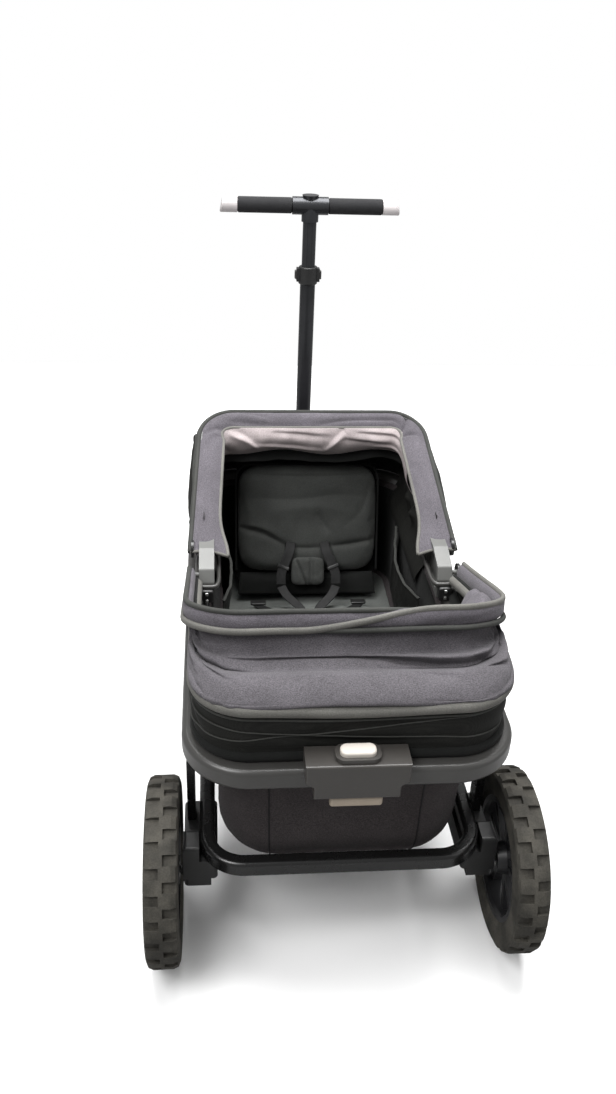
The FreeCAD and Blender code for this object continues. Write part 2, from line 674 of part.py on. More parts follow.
def build_lower_frame():
    loop = lower_loop()
    save("lower_loop", loop)
    save("floor_boards", floor_boards())
    save("tub_shell", tub_shell())
    save("seat_pad", seat_pad())
    bracket = near_bracket(loop)
    housing = caster_housing(loop)
    for side in SIDES:
        save("near_bracket_" + side, on_side(bracket, side))
        save("caster_housing_" + side, on_side(housing, side))
    save("stub_axles", pair(stub_axle()))
    save("handle_bracket", handle_bracket())
    save("handle_pivot_pin", handle_pivot_pin())
    save("seat_hinge", seat_hinge())


def build_upper_frame():
    near, far, rail = ring_with_sections()
    rail = side_rail(rail)
    post = mid_post()
    save("near_bumper", near)
    save("far_bumper", far)
    for side in SIDES:
        save("side_rail_" + side, on_side(rail, side))
        save("mid_post_" + side, on_side(post, side))
    save("guide_posts", pair(guide_post()))
    save("scissor_arms_outer", scissor_outer())
    save("scissor_arms_inner", scissor_inner())
    save("latch_housing", latch_housing())
    save("latch_button", latch_button())
    save("squeeze_lever", squeeze_lever())
    save("mesh_band", mesh_band())


def build_near_wheels():
    makers = {"near_tyre": near_tyre, "near_rim": near_rim,
              "near_bearings": near_bearings, "near_hub_button": near_hub_button}
    for name, maker in makers.items():
        shape = maker()
        shape.translate(V(WHEEL_TRACK / 2, NEAR_AXLE_Y, AXLE_Z))
        for side in SIDES:
            save(name + "_" + side, on_side(shape, side))


def build_casters():
    makers = {"caster_tyre": caster_tyre, "caster_rim": caster_rim, "caster_axle": caster_axle}
    fork = caster_fork()
    fork.translate(V(CASTER_X, CASTER_Y, 0))
    for side in SIDES:
        save("caster_fork_" + side, on_side(fork, side))
    for name, maker in makers.items():
        shape = maker()
        shape.translate(V(CASTER_X, CASTER_Y - CASTER_TRAIL, CASTER_R))
        for side in SIDES:
            save(name + "_" + side, on_side(shape, side))


def build_handle():
    save("handle_lower_tube", leaned(handle_lower_tube()))
    save("handle_collar", leaned(handle_collar()))
    save("handle_upper_tube", leaned(handle_upper_tube()))
    save("handle_tee", leaned(handle_tee()))
    makers = {"collar_button": collar_button, "grip": grip, "end_cap": end_cap}
    for name, maker in makers.items():
        for side in SIDES:
            save(name + "_" + side, on_side(leaned(maker()), side))


def build_canopies():
    save("near_bow", canopy_bow(-1, NEAR_PIVOT, NEAR_TILT, BOW_HALF_W, 92))
    save("far_bow", canopy_bow(1, FAR_PIVOT, FAR_TILT, FAR_BOW_END_HALF_W, 72))
    save("near_canopy", near_canopy())
    save("far_canopy", far_canopy())


def build_seat():
    save("seat_back_board", seat_leaned(seat_back_board()))
    save("seat_back_pad", seat_leaned(seat_back_pad()))
    save("lumbar_cushion", seat_leaned(lumbar_cushion()))
    save("harness_straps", seat_leaned(harness_straps()))
    save("harness_buckle", harness_buckle())


build_lower_frame()
build_upper_frame()
build_near_wheels()
build_casters()
build_handle()
build_canopies()
build_seat()
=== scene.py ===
"""Blender looks of the wagon-style pet stroller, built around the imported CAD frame. Metres."""

import bpy
import bmesh
import json
import math
import numpy as np
from mathutils import Matrix, Vector

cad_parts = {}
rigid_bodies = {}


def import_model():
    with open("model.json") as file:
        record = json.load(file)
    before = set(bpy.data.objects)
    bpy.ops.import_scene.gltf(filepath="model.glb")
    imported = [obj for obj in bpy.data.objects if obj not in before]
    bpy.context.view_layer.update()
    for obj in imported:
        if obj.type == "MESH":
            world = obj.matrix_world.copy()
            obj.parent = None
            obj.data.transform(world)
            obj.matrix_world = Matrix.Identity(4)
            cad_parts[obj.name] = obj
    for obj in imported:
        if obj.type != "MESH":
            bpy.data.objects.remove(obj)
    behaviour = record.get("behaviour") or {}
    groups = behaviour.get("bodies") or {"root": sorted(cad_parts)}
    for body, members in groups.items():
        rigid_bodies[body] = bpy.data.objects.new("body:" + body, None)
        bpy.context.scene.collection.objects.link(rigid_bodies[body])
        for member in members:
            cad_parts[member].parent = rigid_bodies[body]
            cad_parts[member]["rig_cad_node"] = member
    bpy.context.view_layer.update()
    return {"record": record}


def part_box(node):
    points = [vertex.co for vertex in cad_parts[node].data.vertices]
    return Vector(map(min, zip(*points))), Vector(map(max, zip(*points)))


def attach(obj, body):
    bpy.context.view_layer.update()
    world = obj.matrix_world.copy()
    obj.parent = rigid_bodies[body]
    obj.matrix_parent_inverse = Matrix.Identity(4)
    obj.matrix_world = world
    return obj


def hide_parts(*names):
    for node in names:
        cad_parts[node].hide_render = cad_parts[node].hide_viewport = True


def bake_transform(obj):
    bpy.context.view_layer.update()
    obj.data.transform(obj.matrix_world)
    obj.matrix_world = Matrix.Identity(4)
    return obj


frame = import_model()
joints = {j["name"]: j for j in frame["record"]["behaviour"]["joints"]}

# Places and sizes, shared by the pieces below
PIVOT_NEAR = Vector(joints["near_canopy_tilt"]["pos_m"])
PIVOT_FAR = Vector(joints["far_canopy_tilt"]["pos_m"])
SEAT_PIVOT = Vector(joints["seat_back_fold"]["pos_m"])
NEAR_TILT, FAR_TILT = math.radians(20.5), math.radians(20.5)
SEAT_LEAN = math.radians(18)
BOW_HALF, BOW_REACH, BOW_CORNER = 0.251, 0.366, 0.092
FAR_CORNER, FAR_TAPER = 0.072, 0.207
BAND_HALF, BAND_REACH, BAND_CORNER = 0.240, 0.495, 0.083
BAND_LOW = 0.452
RING_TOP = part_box("near_bumper")[1].z
TUB_LOW, TUB_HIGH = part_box("tub_shell")
FAR_FLOOR_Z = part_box("seat_pad")[0].z - 0.010
CLOTH = 0.0014
VISOR_W = 0.050

# Folds, as lines on each sheet with a depth and a width. A sheet's places are metres from its
# middle (+ to +X) and metres down it. A negative depth is a ridge.

CANOPY_LENGTH, CANOPY_DROP = 1.08, 0.205
CANOPY_FOLDS = [
    ([(-0.27, 0.045), (-0.16, 0.060), (0.0, 0.055), (0.12, 0.074), (0.22, 0.070), (0.29, 0.040)],
     0.017, 0.013),
    ([(0.02, 0.083), (0.12, 0.092), (0.22, 0.088), (0.33, 0.080)], 0.010, 0.009),
    ([(-0.33, 0.070), (-0.22, 0.082), (-0.12, 0.094)], 0.009, 0.009),
    ([(-0.31, 0.108), (-0.27, 0.128), (-0.235, 0.160)], 0.010, 0.008),
    ([(-0.255, 0.105), (-0.20, 0.118), (-0.165, 0.140)], 0.006, 0.007),
    ([(-0.20, 0.080), (-0.17, 0.105), (-0.15, 0.120)], 0.005, 0.007),
    ([(0.185, 0.110), (0.215, 0.135), (0.23, 0.165)], 0.009, 0.008),
    ([(0.31, 0.105), (0.27, 0.125), (0.245, 0.155)], 0.010, 0.008),
    ([(0.17, 0.060), (0.24, 0.095), (0.28, 0.100)], 0.006, 0.007),
    ([(-0.05, 0.085), (0.0, 0.105), (0.06, 0.110)], 0.003, 0.012),
    ([(0.07, 0.115), (0.13, 0.130), (0.16, 0.150)], 0.003, 0.010),
]
BAND_FOLDS = [
    ([(-0.36, 0.010), (-0.28, 0.040), (-0.20, 0.080)], 0.006, 0.007),
    ([(-0.30, 0.015), (-0.15, 0.045), (0.05, 0.060), (0.25, 0.050)], 0.005, 0.008),
    ([(-0.12, 0.050), (0.0, 0.030), (0.16, 0.024), (0.33, 0.015)], 0.005, 0.008),
    ([(0.20, 0.085), (0.27, 0.050), (0.33, 0.030)], 0.006, 0.007),
    ([(-0.25, 0.070), (0.0, 0.080), (0.25, 0.072)], 0.004, 0.009),
]
RIM_FOLDS = [
    ([(0.02, 0.046), (0.12, 0.026), (0.24, 0.012)], 0.0035, 0.006),
    ([(0.10, 0.045), (0.20, 0.034), (0.31, 0.022)], 0.0035, 0.005),
    ([(0.20, 0.042), (0.26, 0.036), (0.34, 0.030)], 0.0030, 0.004),
    ([(-0.30, 0.015), (-0.25, 0.030), (-0.20, 0.036)], 0.0020, 0.006),
]
VISOR_FOLDS = [
    ([(-0.27, 0.000), (-0.235, 0.022), (-0.20, 0.050)], 0.007, 0.006),
    ([(-0.30, 0.015), (-0.26, 0.030), (-0.235, 0.050)], 0.005, 0.006),
    ([(-0.19, 0.030), (-0.12, 0.040), (-0.05, 0.045)], 0.004, 0.007),
    ([(-0.14, 0.012), (-0.10, 0.020), (-0.07, 0.036)], 0.003, 0.005),
    ([(0.00, 0.044), (0.08, 0.030), (0.17, 0.030), (0.21, 0.044)], 0.007, 0.006),
    ([(0.19, 0.000), (0.205, 0.020), (0.215, 0.050)], 0.009, 0.005),
    ([(0.26, 0.010), (0.245, 0.030), (0.235, 0.050)], 0.007, 0.006),
    ([(0.34, 0.030), (0.40, 0.026), (0.45, 0.036)], 0.004, 0.007),
    ([(-0.36, 0.035), (-0.42, 0.025), (-0.50, 0.030)], 0.003, 0.008),
]
LINER_FOLDS = [
    ([(-0.20, 0.010), (-0.15, 0.030), (-0.12, 0.062)], -0.010, 0.009),
    ([(-0.26, 0.020), (-0.22, 0.035), (-0.19, 0.065)], 0.009, 0.008),
    ([(-0.14, 0.045), (-0.05, 0.060), (0.04, 0.058)], -0.007, 0.010),
    ([(0.08, 0.010), (0.055, 0.030), (0.03, 0.060)], -0.011, 0.009),
    ([(0.07, 0.025), (0.13, 0.040), (0.19, 0.048)], 0.006, 0.008),
    ([(0.10, 0.012), (0.17, 0.018), (0.23, 0.022)], 0.006, 0.007),
    ([(0.14, 0.058), (0.19, 0.055), (0.25, 0.050)], -0.006, 0.008),
    ([(-0.10, 0.012), (0.0, 0.018), (0.05, 0.020)], 0.005, 0.008),
]
SEAT_FOLDS = [
    ([(-0.155, -0.018), (-0.10, -0.030), (-0.045, -0.062)], 0.009, 0.008),
    ([(-0.155, -0.010), (-0.10, -0.020), (-0.05, -0.050)], -0.004, 0.009),
    ([(0.045, -0.062), (0.09, -0.058), (0.15, -0.048)], 0.008, 0.007),
    ([(-0.045, -0.062), (0.0, -0.066), (0.045, -0.062)], 0.005, 0.006),
    ([(-0.043, -0.052), (-0.043, -0.075)], 0.010, 0.006),
    ([(0.043, -0.052), (0.043, -0.075)], 0.010, 0.006),
    ([(0.02, 0.020), (0.035, -0.010), (0.055, -0.032)], 0.005, 0.008),
    ([(-0.14, 0.050), (-0.02, 0.046), (0.06, 0.056), (0.14, 0.050)], 0.004, 0.010),
    ([(-0.15, 0.102), (0.0, 0.097), (0.15, 0.102)], 0.005, 0.006),
    ([(-0.10, 0.012), (0.0, 0.030), (0.10, 0.018)], -0.004, 0.020),
    ([(0.08, -0.020), (0.12, 0.020), (0.14, 0.080)], 0.004, 0.012),
]


# Numbers and curves

def smooth(x, low, high):
    """0 below low, 1 above high, and smooth between."""
    t = np.clip((np.asarray(x, float) - low) / (high - low), 0, 1)
    return t * t * (3 - 2 * t)


def bump(x, centre, width):
    """A rounded hump, 1 at the centre."""
    return np.exp(-((np.asarray(x, float) - centre) / width) ** 2)


def wobble(a, b, seed, octaves=3):
    """Smooth repeatable waves over two coordinates, about -1 to 1."""
    random = np.random.RandomState(seed)
    total = np.zeros(np.broadcast(a, b).shape)
    for octave in range(octaves):
        for _ in range(4):
            angle, phase = random.uniform(0, 2 * math.pi, 2)
            pitch = 2 ** octave * random.uniform(0.7, 1.3)
            total += np.sin(pitch * (a * math.cos(angle) + b * math.sin(angle)) + phase) / 2 ** octave
    return total / 4.5


def u_path(half_w, reach, corner, count, start=0.0):
    """A U from the open end at +X round the closed end to -X, as x, t, and outward normal."""
    straight, arc, across = reach - corner - start, corner * math.pi / 2, 2 * (half_w - corner)
    s = np.linspace(0, 2 * (straight + arc) + across, count)
    turns = [straight, straight + arc, straight + arc + across, straight + 2 * arc + across]
    a = np.where(s < turns[2], (s - turns[0]) / corner, (s - turns[2]) / corner + math.pi / 2)
    a = np.select([s < turns[0], (s >= turns[1]) & (s < turns[2]), s >= turns[3]],
                  [0, math.pi / 2, math.pi], a)
    x = np.sign(np.cos(a)) * (half_w - corner) + corner * np.cos(a)
    flat_part = (s >= turns[1]) & (s < turns[2])
    x = np.where(flat_part, half_w - corner - (s - turns[1]), x)
    t = reach - corner + corner * np.sin(a)
    t = np.where(s < turns[0], start + s, np.where(s >= turns[3], reach - corner - (s - turns[3]), t))
    return x, t, np.cos(a), np.sin(a)


def on_bow(side, x, t, up):
    """From a place on a canopy bow's tilted plane to the row frame. side is -1 near, 1 far."""
    tilt, pivot = (NEAR_TILT, PIVOT_NEAR) if side < 0 else (FAR_TILT, PIVOT_FAR)
    y = pivot.y + side * (t * math.cos(tilt) - up * math.sin(tilt))
    z = pivot.z + t * math.sin(tilt) + up * math.cos(tilt)
    return np.stack(np.broadcast_arrays(x, y, z), -1)


def along(points, count):
    """The same line through a few points, drawn as a smooth curve with even steps."""
    p = np.asarray(points, float)
    p = np.vstack([2 * p[0] - p[1], p, 2 * p[-1] - p[-2]])
    fine = []
    for i in range(1, len(p) - 2):
        for u in np.linspace(0, 1, 24, endpoint=False):
            fine.append(0.5 * (2 * p[i] + (p[i + 1] - p[i - 1]) * u
                               + (2 * p[i - 1] - 5 * p[i] + 4 * p[i + 1] - p[i + 2]) * u ** 2
                               + (3 * p[i] - p[i - 1] - 3 * p[i + 1] + p[i + 2]) * u ** 3))
    fine = np.array(fine + [p[-2]])
    length = np.concatenate([[0], np.cumsum(np.linalg.norm(np.diff(fine, axis=0), axis=1))])
    even = np.linspace(0, length[-1], count)
    return np.stack([np.interp(even, length, fine[:, k]) for k in range(3)], 1)


def sample(grid, u, v):
    """Places on a grid of points, by shares u along its rows and v down them."""
    rows, columns = grid.shape[:2]
    a, b = np.clip(v, 0, 1) * (rows - 1), np.clip(u, 0, 1) * (columns - 1)
    i, j = np.minimum(a.astype(int), rows - 2), np.minimum(b.astype(int), columns - 2)
    fa, fb = (a - i)[:, None], (b - j)[:, None]
    top = grid[i, j] * (1 - fb) + grid[i, j + 1] * fb
    low = grid[i + 1, j] * (1 - fb) + grid[i + 1, j + 1] * fb
    return top * (1 - fa) + low * fa


def bow_line(side, count, start=0.0, inset=0.0):
    """A canopy bow's own line, on its plane. The far bow narrows towards its closed end."""
    corner = (BOW_CORNER if side < 0 else FAR_CORNER) - inset
    x, t, nx, nt = u_path(BOW_HALF - inset, BOW_REACH - inset, max(corner, 0.022), count, start)
    if side > 0:
        x = x * (1 - FAR_TAPER * np.maximum(t, 0))
        nt = nt + FAR_TAPER * BOW_HALF * np.abs(nx)
        length = np.hypot(nx, nt)
        nx, nt = nx / length, nt / length
    return x, t, nx, nt


def fold(a, b, points, width):
    """A hump along a bent line on a sheet, fading out at its ends. All in metres."""
    line = along([(p, q, 0) for p, q in points], 14)[:, :2]
    a, b = np.broadcast_arrays(np.asarray(a, float), np.asarray(b, float))
    nearest, place = np.full(a.shape, 1e9), np.zeros(a.shape)
    for k in range(len(line) - 1):
        step = line[k + 1] - line[k]
        share = np.clip(((a - line[k, 0]) * step[0] + (b - line[k, 1]) * step[1]) / (step @ step), 0, 1)
        distance = np.hypot(a - line[k, 0] - share * step[0], b - line[k, 1] - share * step[1])
        place = np.where(distance < nearest, (k + share) / (len(line) - 1), place)
        nearest = np.minimum(nearest, distance)
    return np.exp(-(nearest / width) ** 1.4) * np.sin(np.pi * np.clip(place, 0.02, 0.98)) ** 0.7


def finer(grid):
    """The same sheet with twice the rows and columns, rounded off between them."""
    for axis in (0, 1):
        g = np.swapaxes(grid, 0, axis)
        made = np.empty((2 * len(g) - 1, *g.shape[1:]))
        made[::2] = g
        made[1::2] = (g[:-1] + g[1:]) / 2
        made[2:-2:2] = (made[1:-3:2] + 2 * made[2:-2:2] + made[3:-1:2]) / 4
        grid = np.swapaxes(made, 0, axis)
    return grid


def outward_of(nx, ny):
    return np.stack([nx, ny, 0 * nx], 1)


# Meshes

def add_object(name, mesh, material):
    obj = bpy.data.objects.new(name, mesh)
    bpy.context.scene.collection.objects.link(obj)
    mesh.materials.append(material)
    for polygon in mesh.polygons:
        polygon.use_smooth = True
    return obj


def surface(name, grid, material, wrap_rows=False, wrap_columns=False, caps=False):
    """A quad mesh over a grid of points (rows, columns, 3)."""
    rows, columns = grid.shape[:2]
    index = np.arange(rows * columns).reshape(rows, columns)
    last_row, last_column = rows if wrap_rows else rows - 1, columns if wrap_columns else columns - 1
    faces = []
    for i in range(last_row):
        for j in range(last_column):
            k, m = (i + 1) % rows, (j + 1) % columns
            faces.append([index[i, j], index[i, m], index[k, m], index[k, j]])
    if caps:
        faces.append(list(index[:, 0]))
        faces.append(list(index[::-1, -1]))
    mesh = bpy.data.meshes.new(name)
    mesh.from_pydata(grid.reshape(-1, 3).tolist(), [], [[int(n) for n in face] for face in faces])
    mesh.validate()
    made = bmesh.new()
    made.from_mesh(mesh)
    bmesh.ops.remove_doubles(made, verts=made.verts, dist=1e-6)
    bmesh.ops.recalc_face_normals(made, faces=made.faces)
    made.to_mesh(mesh)
    made.free()
    return add_object(name, mesh, material)


def sweep(name, path, hint, profile, material, closed=False):
    """A closed profile of (across, up) offsets carried along a path. hint is the path's up side."""
    path = np.asarray(path, float)
    if closed:
        ahead, behind = np.roll(path, -1, 0), np.roll(path, 1, 0)
    else:
        ahead = np.vstack([path[1:], 2 * path[-1] - path[-2]])
        behind = np.vstack([2 * path[0] - path[1], path[:-1]])
    tangent = ahead - behind
    tangent /= np.linalg.norm(tangent, axis=1)[:, None]
    hint = np.broadcast_to(np.asarray(hint, float), path.shape)
    across = np.cross(tangent, hint)
    across /= np.linalg.norm(across, axis=1)[:, None]
    up = np.cross(across, tangent)
    grid = np.stack([path + a * across + b * up for a, b in profile])
    return surface(name, grid, material, wrap_rows=True, wrap_columns=closed, caps=not closed)


def circle(radius, sides=10, flat=1.0):
    return [(radius * math.cos(2 * math.pi * k / sides), radius * flat * math.sin(2 * math.pi * k / sides))
            for k in range(sides)]


def strap_profile(width, thick):
    """Flat webbing section with a raised, rounded edge on each side."""
    half, h = width / 2, thick / 2
    right = [(half - 0.0026, h), (half - 0.0012, h * 1.35), (half, h * 0.4), (half, -h * 0.4),
             (half - 0.0012, -h * 1.35), (half - 0.0026, -h)]
    return right + [(-a, b) for a, b in reversed(right)]


def piping(name, path, radius, material, body, hint=(0, 0, 1), closed=False):
    obj = sweep(name, path, hint, circle(radius), material, closed)
    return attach(obj, body)


def thicken(obj, thickness=CLOTH, offset=0.0):
    modifier = obj.modifiers.new("cloth thickness", "SOLIDIFY")
    modifier.thickness = thickness
    modifier.offset = offset
    return obj


def settle(obj):
    """The mesh with its modifiers applied."""
    depsgraph = bpy.context.evaluated_depsgraph_get()
    mesh = bpy.data.meshes.new_from_object(obj.evaluated_get(depsgraph))
    obj.modifiers.clear()
    obj.data = mesh
    for polygon in mesh.polygons:
        polygon.use_smooth = True
    return obj


def subdivide(obj, levels=1):
    modifier = obj.modifiers.new("finer", "SUBSURF")
    modifier.levels = modifier.render_levels = levels
    return settle(obj)


def vertices(obj):
    flat = np.empty(len(obj.data.vertices) * 3)
    obj.data.vertices.foreach_get("co", flat)
    return flat.reshape(-1, 3)


def set_vertices(obj, points):
    obj.data.vertices.foreach_set("co", np.asarray(points, float).ravel())
    obj.data.update()


def step_cloth(obj, frames):
    """Runs the cloth simulation and keeps only its result."""
    scene = bpy.context.scene
    scene.frame_start = 1
    for number in range(1, frames + 1):
        scene.frame_set(number)
    settle(obj)
    scene.frame_set(1)


# Materials

class Finish:
    """A material on a Principled shader, with short calls for what its surface shows."""

    def __init__(self, name, roughness, metallic=0.0, sheen=0.0, coat=0.0, specular=0.5):
        self.made = bpy.data.materials.new(name)
        self.made.use_nodes = True
        self.nodes, self.links = self.made.node_tree.nodes, self.made.node_tree.links
        self.shader = self.nodes["Principled BSDF"]
        constants = {"Roughness": roughness, "Metallic": metallic, "Sheen Weight": sheen,
                     "Coat Weight": coat, "Coat Roughness": 0.25, "Specular IOR Level": specular}
        for key, value in constants.items():
            self.shader.inputs[key].default_value = value
        self.place = self.nodes.new("ShaderNodeTexCoord").outputs["Object"]
        self.normal = None

    def noise(self, scale, detail=2.0, stretch=(1, 1, 1)):
        mapping = self.nodes.new("ShaderNodeMapping")
        mapping.inputs["Scale"].default_value = stretch
        texture = self.nodes.new("ShaderNodeTexNoise")
        texture.inputs["Scale"].default_value = scale
        texture.inputs["Detail"].default_value = detail
        self.links.new(self.place, mapping.inputs["Vector"])
        self.links.new(mapping.outputs["Vector"], texture.inputs["Vector"])
        return texture.outputs["Fac"]

    def threads(self, scale, turn):
        """Fine bands, for one direction of a weave."""
        mapping = self.nodes.new("ShaderNodeMapping")
        mapping.inputs["Rotation"].default_value = turn
        texture = self.nodes.new("ShaderNodeTexWave")
        texture.inputs["Scale"].default_value = scale
        texture.inputs["Distortion"].default_value = 0.6
        texture.inputs["Detail Scale"].default_value = 2.0
        self.links.new(self.place, mapping.inputs["Vector"])
        self.links.new(mapping.outputs["Vector"], texture.inputs["Vector"])
        return texture.outputs["Fac"]

    def math(self, kind, a, b):
        node = self.nodes.new("ShaderNodeMath")
        node.operation = kind
        for socket, value in zip(node.inputs, (a, b)):
            if isinstance(value, (int, float)):
                socket.default_value = value
            else:
                self.links.new(value, socket)
        return node.outputs[0]

    def ramp(self, amount, stops):
        node = self.nodes.new("ShaderNodeValToRGB")
        elements = node.color_ramp.elements
        while len(elements) < len(stops):
            elements.new(0.5)
        for element, (at, colour) in zip(elements, stops):
            element.position = at
            element.color = (*colour, 1)
        self.links.new(amount, node.inputs["Fac"])
        return node.outputs["Color"]

    def one_channel(self, colour):
        node = self.nodes.new("ShaderNodeSeparateColor")
        self.links.new(colour, node.inputs["Color"])
        return node.outputs[0]

    def mix(self, amount, a, b, kind="MIX"):
        node = self.nodes.new("ShaderNodeMix")
        node.data_type = "RGBA"
        node.blend_type = kind
        for socket, value in ((node.inputs[0], amount), (node.inputs[6], a), (node.inputs[7], b)):
            if isinstance(value, (int, float)):
                socket.default_value = value
            elif isinstance(value, tuple):
                socket.default_value = (*value, 1)
            else:
                self.links.new(value, socket)
        return node.outputs[2]

    def colour(self, socket):
        self.links.new(socket, self.shader.inputs["Base Color"])
        return self

    def rough(self, amount, low, high):
        node = self.nodes.new("ShaderNodeMapRange")
        node.inputs["To Min"].default_value = low
        node.inputs["To Max"].default_value = high
        self.links.new(amount, node.inputs["Value"])
        self.links.new(node.outputs["Result"], self.shader.inputs["Roughness"])
        return self

    def relief(self, height, strength, depth):
        node = self.nodes.new("ShaderNodeBump")
        node.inputs["Strength"].default_value = strength
        node.inputs["Distance"].default_value = depth
        self.links.new(height, node.inputs["Height"])
        if self.normal is not None:
            self.links.new(self.normal, node.inputs["Normal"])
        self.normal = node.outputs["Normal"]
        self.links.new(self.normal, self.shader.inputs["Normal"])
        return self


def tinted(colour, share):
    return tuple(min(1.0, c * share) for c in colour)


def heather(name, colour, contrast, fleck=1500, sheen=0.08):
    """Melange cloth: light and dark yarns, a fine twill and soft larger unevenness."""
    f = Finish(name, 0.9, sheen=sheen, specular=0.15)
    yarn_a = f.noise(fleck, 2.0, (1.0, 1.0, 0.4))
    yarn_b = f.noise(fleck * 0.8, 2.0, (0.4, 0.4, 1.0))
    yarn = f.math("MULTIPLY", f.math("ADD", yarn_a, yarn_b), 0.5)
    base = f.ramp(yarn, [(0.38, tinted(colour, 1 - contrast)), (0.5, colour),
                         (0.62, tinted(colour, 1 + contrast * 1.2))])
    patches = f.ramp(f.noise(16, 4.0), [(0.3, (0.80, 0.80, 0.80)), (0.7, (1.0, 1.0, 1.0))])
    f.colour(f.mix(1.0, base, patches, "MULTIPLY"))
    weave = f.math("ADD", f.threads(420, (0, 0.8, 0.8)), f.threads(420, (0.8, 0.0, -0.8)))
    f.rough(yarn, 0.85, 1.0)
    f.relief(weave, 0.25, 0.0004)
    return f.relief(f.noise(60, 2.0), 0.15, 0.002).made


def plain_cloth(name, colour, ribs=350, crease=0.3, rough=(0.75, 0.95), sheen=0.03, specular=0.2):
    """Plain woven cloth with visible ribs and soft creases."""
    f = Finish(name, 0.85, sheen=sheen, specular=specular)
    grain = f.noise(700, 3.0)
    base = f.ramp(grain, [(0.3, tinted(colour, 0.76)), (0.7, tinted(colour, 1.22))])
    worn = f.ramp(f.noise(14, 4.0), [(0.35, (0.8, 0.8, 0.8)), (0.65, (1.0, 1.0, 1.0))])
    f.colour(f.mix(1.0, base, worn, "MULTIPLY"))
    f.rough(f.noise(30, 2.0), *rough)
    weave = f.math("ADD", f.threads(ribs, (0, 0, 0)), f.threads(ribs, (0, 1.5708, 0)))
    f.relief(weave, 0.3, 0.0004)
    return f.relief(f.noise(24, 3.0), crease, 0.004).made


def net(name, colour):
    """Knitted mesh: round holes between thicker threads."""
    f = Finish(name, 0.7, specular=0.25)
    texture = f.nodes.new("ShaderNodeTexVoronoi")
    texture.inputs["Scale"].default_value = 700
    texture.inputs["Randomness"].default_value = 0.35
    f.links.new(f.place, texture.inputs["Vector"])
    hole = texture.outputs["Distance"]
    base = f.ramp(hole, [(0.0, tinted(colour, 0.4)), (0.35, tinted(colour, 0.8)),
                         (0.6, tinted(colour, 1.5))])
    patches = f.ramp(f.noise(12, 3.0), [(0.35, (0.7, 0.7, 0.7)), (0.65, (1.0, 1.0, 1.0))])
    f.colour(f.mix(1.0, base, patches, "MULTIPLY"))
    f.rough(hole, 0.9, 0.65)
    f.relief(hole, 0.25, 0.0004)
    return f.relief(f.noise(30, 3.0), 0.25, 0.003).made


def moulded(name, colour, rough=(0.34, 0.48), grain=1400, relief=0.12, coat=0.0):
    """Moulded plastic: fine spark grain, faint flow marks and slightly lighter rubbed spots."""
    f = Finish(name, 0.4, coat=coat)
    marks = f.noise(7, 4.0, (1.0, 0.4, 1.0))
    base = f.ramp(marks, [(0.3, tinted(colour, 0.86)), (0.5, colour), (0.75, tinted(colour, 1.14))])
    scuffs = f.ramp(f.noise(90, 6.0), [(0.62, (0, 0, 0)), (0.72, (1, 1, 1))])
    share = f.math("MULTIPLY", f.one_channel(scuffs), 0.15)
    f.colour(f.mix(share, base, tinted(colour, 1.5)))
    f.rough(f.noise(35, 4.0), *rough)
    f.relief(f.noise(grain, 2.0), relief, 0.0002)
    return f.relief(f.noise(20, 2.0), 0.03, 0.002).made


def metal(name, colour, rough=(0.28, 0.42), metallic=0.6, brushed=(1, 1, 1)):
    """Painted or anodised metal: orange peel, brush lines and a soft uneven haze in its tone."""
    f = Finish(name, 0.35, metallic=metallic)
    haze = f.noise(11, 4.0)
    f.colour(f.ramp(haze, [(0.3, tinted(colour, 0.85)), (0.7, tinted(colour, 1.2))]))
    f.rough(f.noise(120, 3.0, brushed), *rough)
    f.relief(f.noise(500, 2.0, brushed), 0.05, 0.0002)
    return f.relief(f.noise(900, 2.0), 0.04, 0.0001).made


def rubber(name, colour, dust):
    """Tyre rubber with dry dust on it and a fine pitted skin."""
    f = Finish(name, 0.85, specular=0.3)
    dirt = f.ramp(f.noise(28, 6.0), [(0.38, colour), (0.66, dust)])
    specks = f.ramp(f.noise(420, 3.0), [(0.35, (0.72, 0.72, 0.72)), (0.65, (1.0, 1.0, 1.0))])
    f.colour(f.mix(1.0, dirt, specks, "MULTIPLY"))
    f.rough(f.noise(50, 3.0), 0.7, 0.95)
    f.relief(f.noise(700, 3.0), 0.3, 0.0004)
    return f.relief(f.noise(45, 3.0), 0.15, 0.0015).made


def foam(name, colour):
    """Closed-cell foam with open pores."""
    f = Finish(name, 0.9, sheen=0.05, specular=0.2)
    pores = f.nodes.new("ShaderNodeTexVoronoi")
    pores.inputs["Scale"].default_value = 900
    f.links.new(f.place, pores.inputs["Vector"])
    f.colour(f.ramp(pores.outputs["Distance"], [(0.05, tinted(colour, 0.5)), (0.3, colour),
                                                (0.8, tinted(colour, 1.3))]))
    f.rough(f.noise(40, 2.0), 0.8, 0.98)
    return f.relief(pores.outputs["Distance"], 0.4, 0.0005).made


HEATHER = heather("heather_grey_cloth", (0.092, 0.085, 0.096), 0.40)
# A darker copy of the heather cloth, as painted shade for the near canopy that hangs under the rim
SHADED_HEATHER = heather("heather_grey_cloth_painted_shade", (0.078, 0.073, 0.080), 0.40)
TUB_CLOTH = heather("charcoal_melange_cloth", (0.044, 0.038, 0.039), 0.40, 1300, 0.04)
LINER = plain_cloth("pale_liner", (0.36, 0.315, 0.315), 500, 0.5, (0.5, 0.7))
BLACK_CLOTH = plain_cloth("black_cloth", (0.006, 0.0065, 0.006), 420, 0.4)
SEAT_CLOTH = plain_cloth("seat_back_cloth", (0.046, 0.048, 0.045), 380, 0.45)
BASE_CLOTH = plain_cloth("seat_base_cloth", (0.115, 0.122, 0.115), 420, 0.2, (0.6, 0.8))
NET = net("black_net", (0.0055, 0.0056, 0.0046))
PIPING = plain_cloth("piping_tape", (0.125, 0.122, 0.112), 260, 0.15, (0.6, 0.8))
SEAM = plain_cloth("dark_piping_tape", (0.036, 0.037, 0.034), 260, 0.15, (0.6, 0.8))
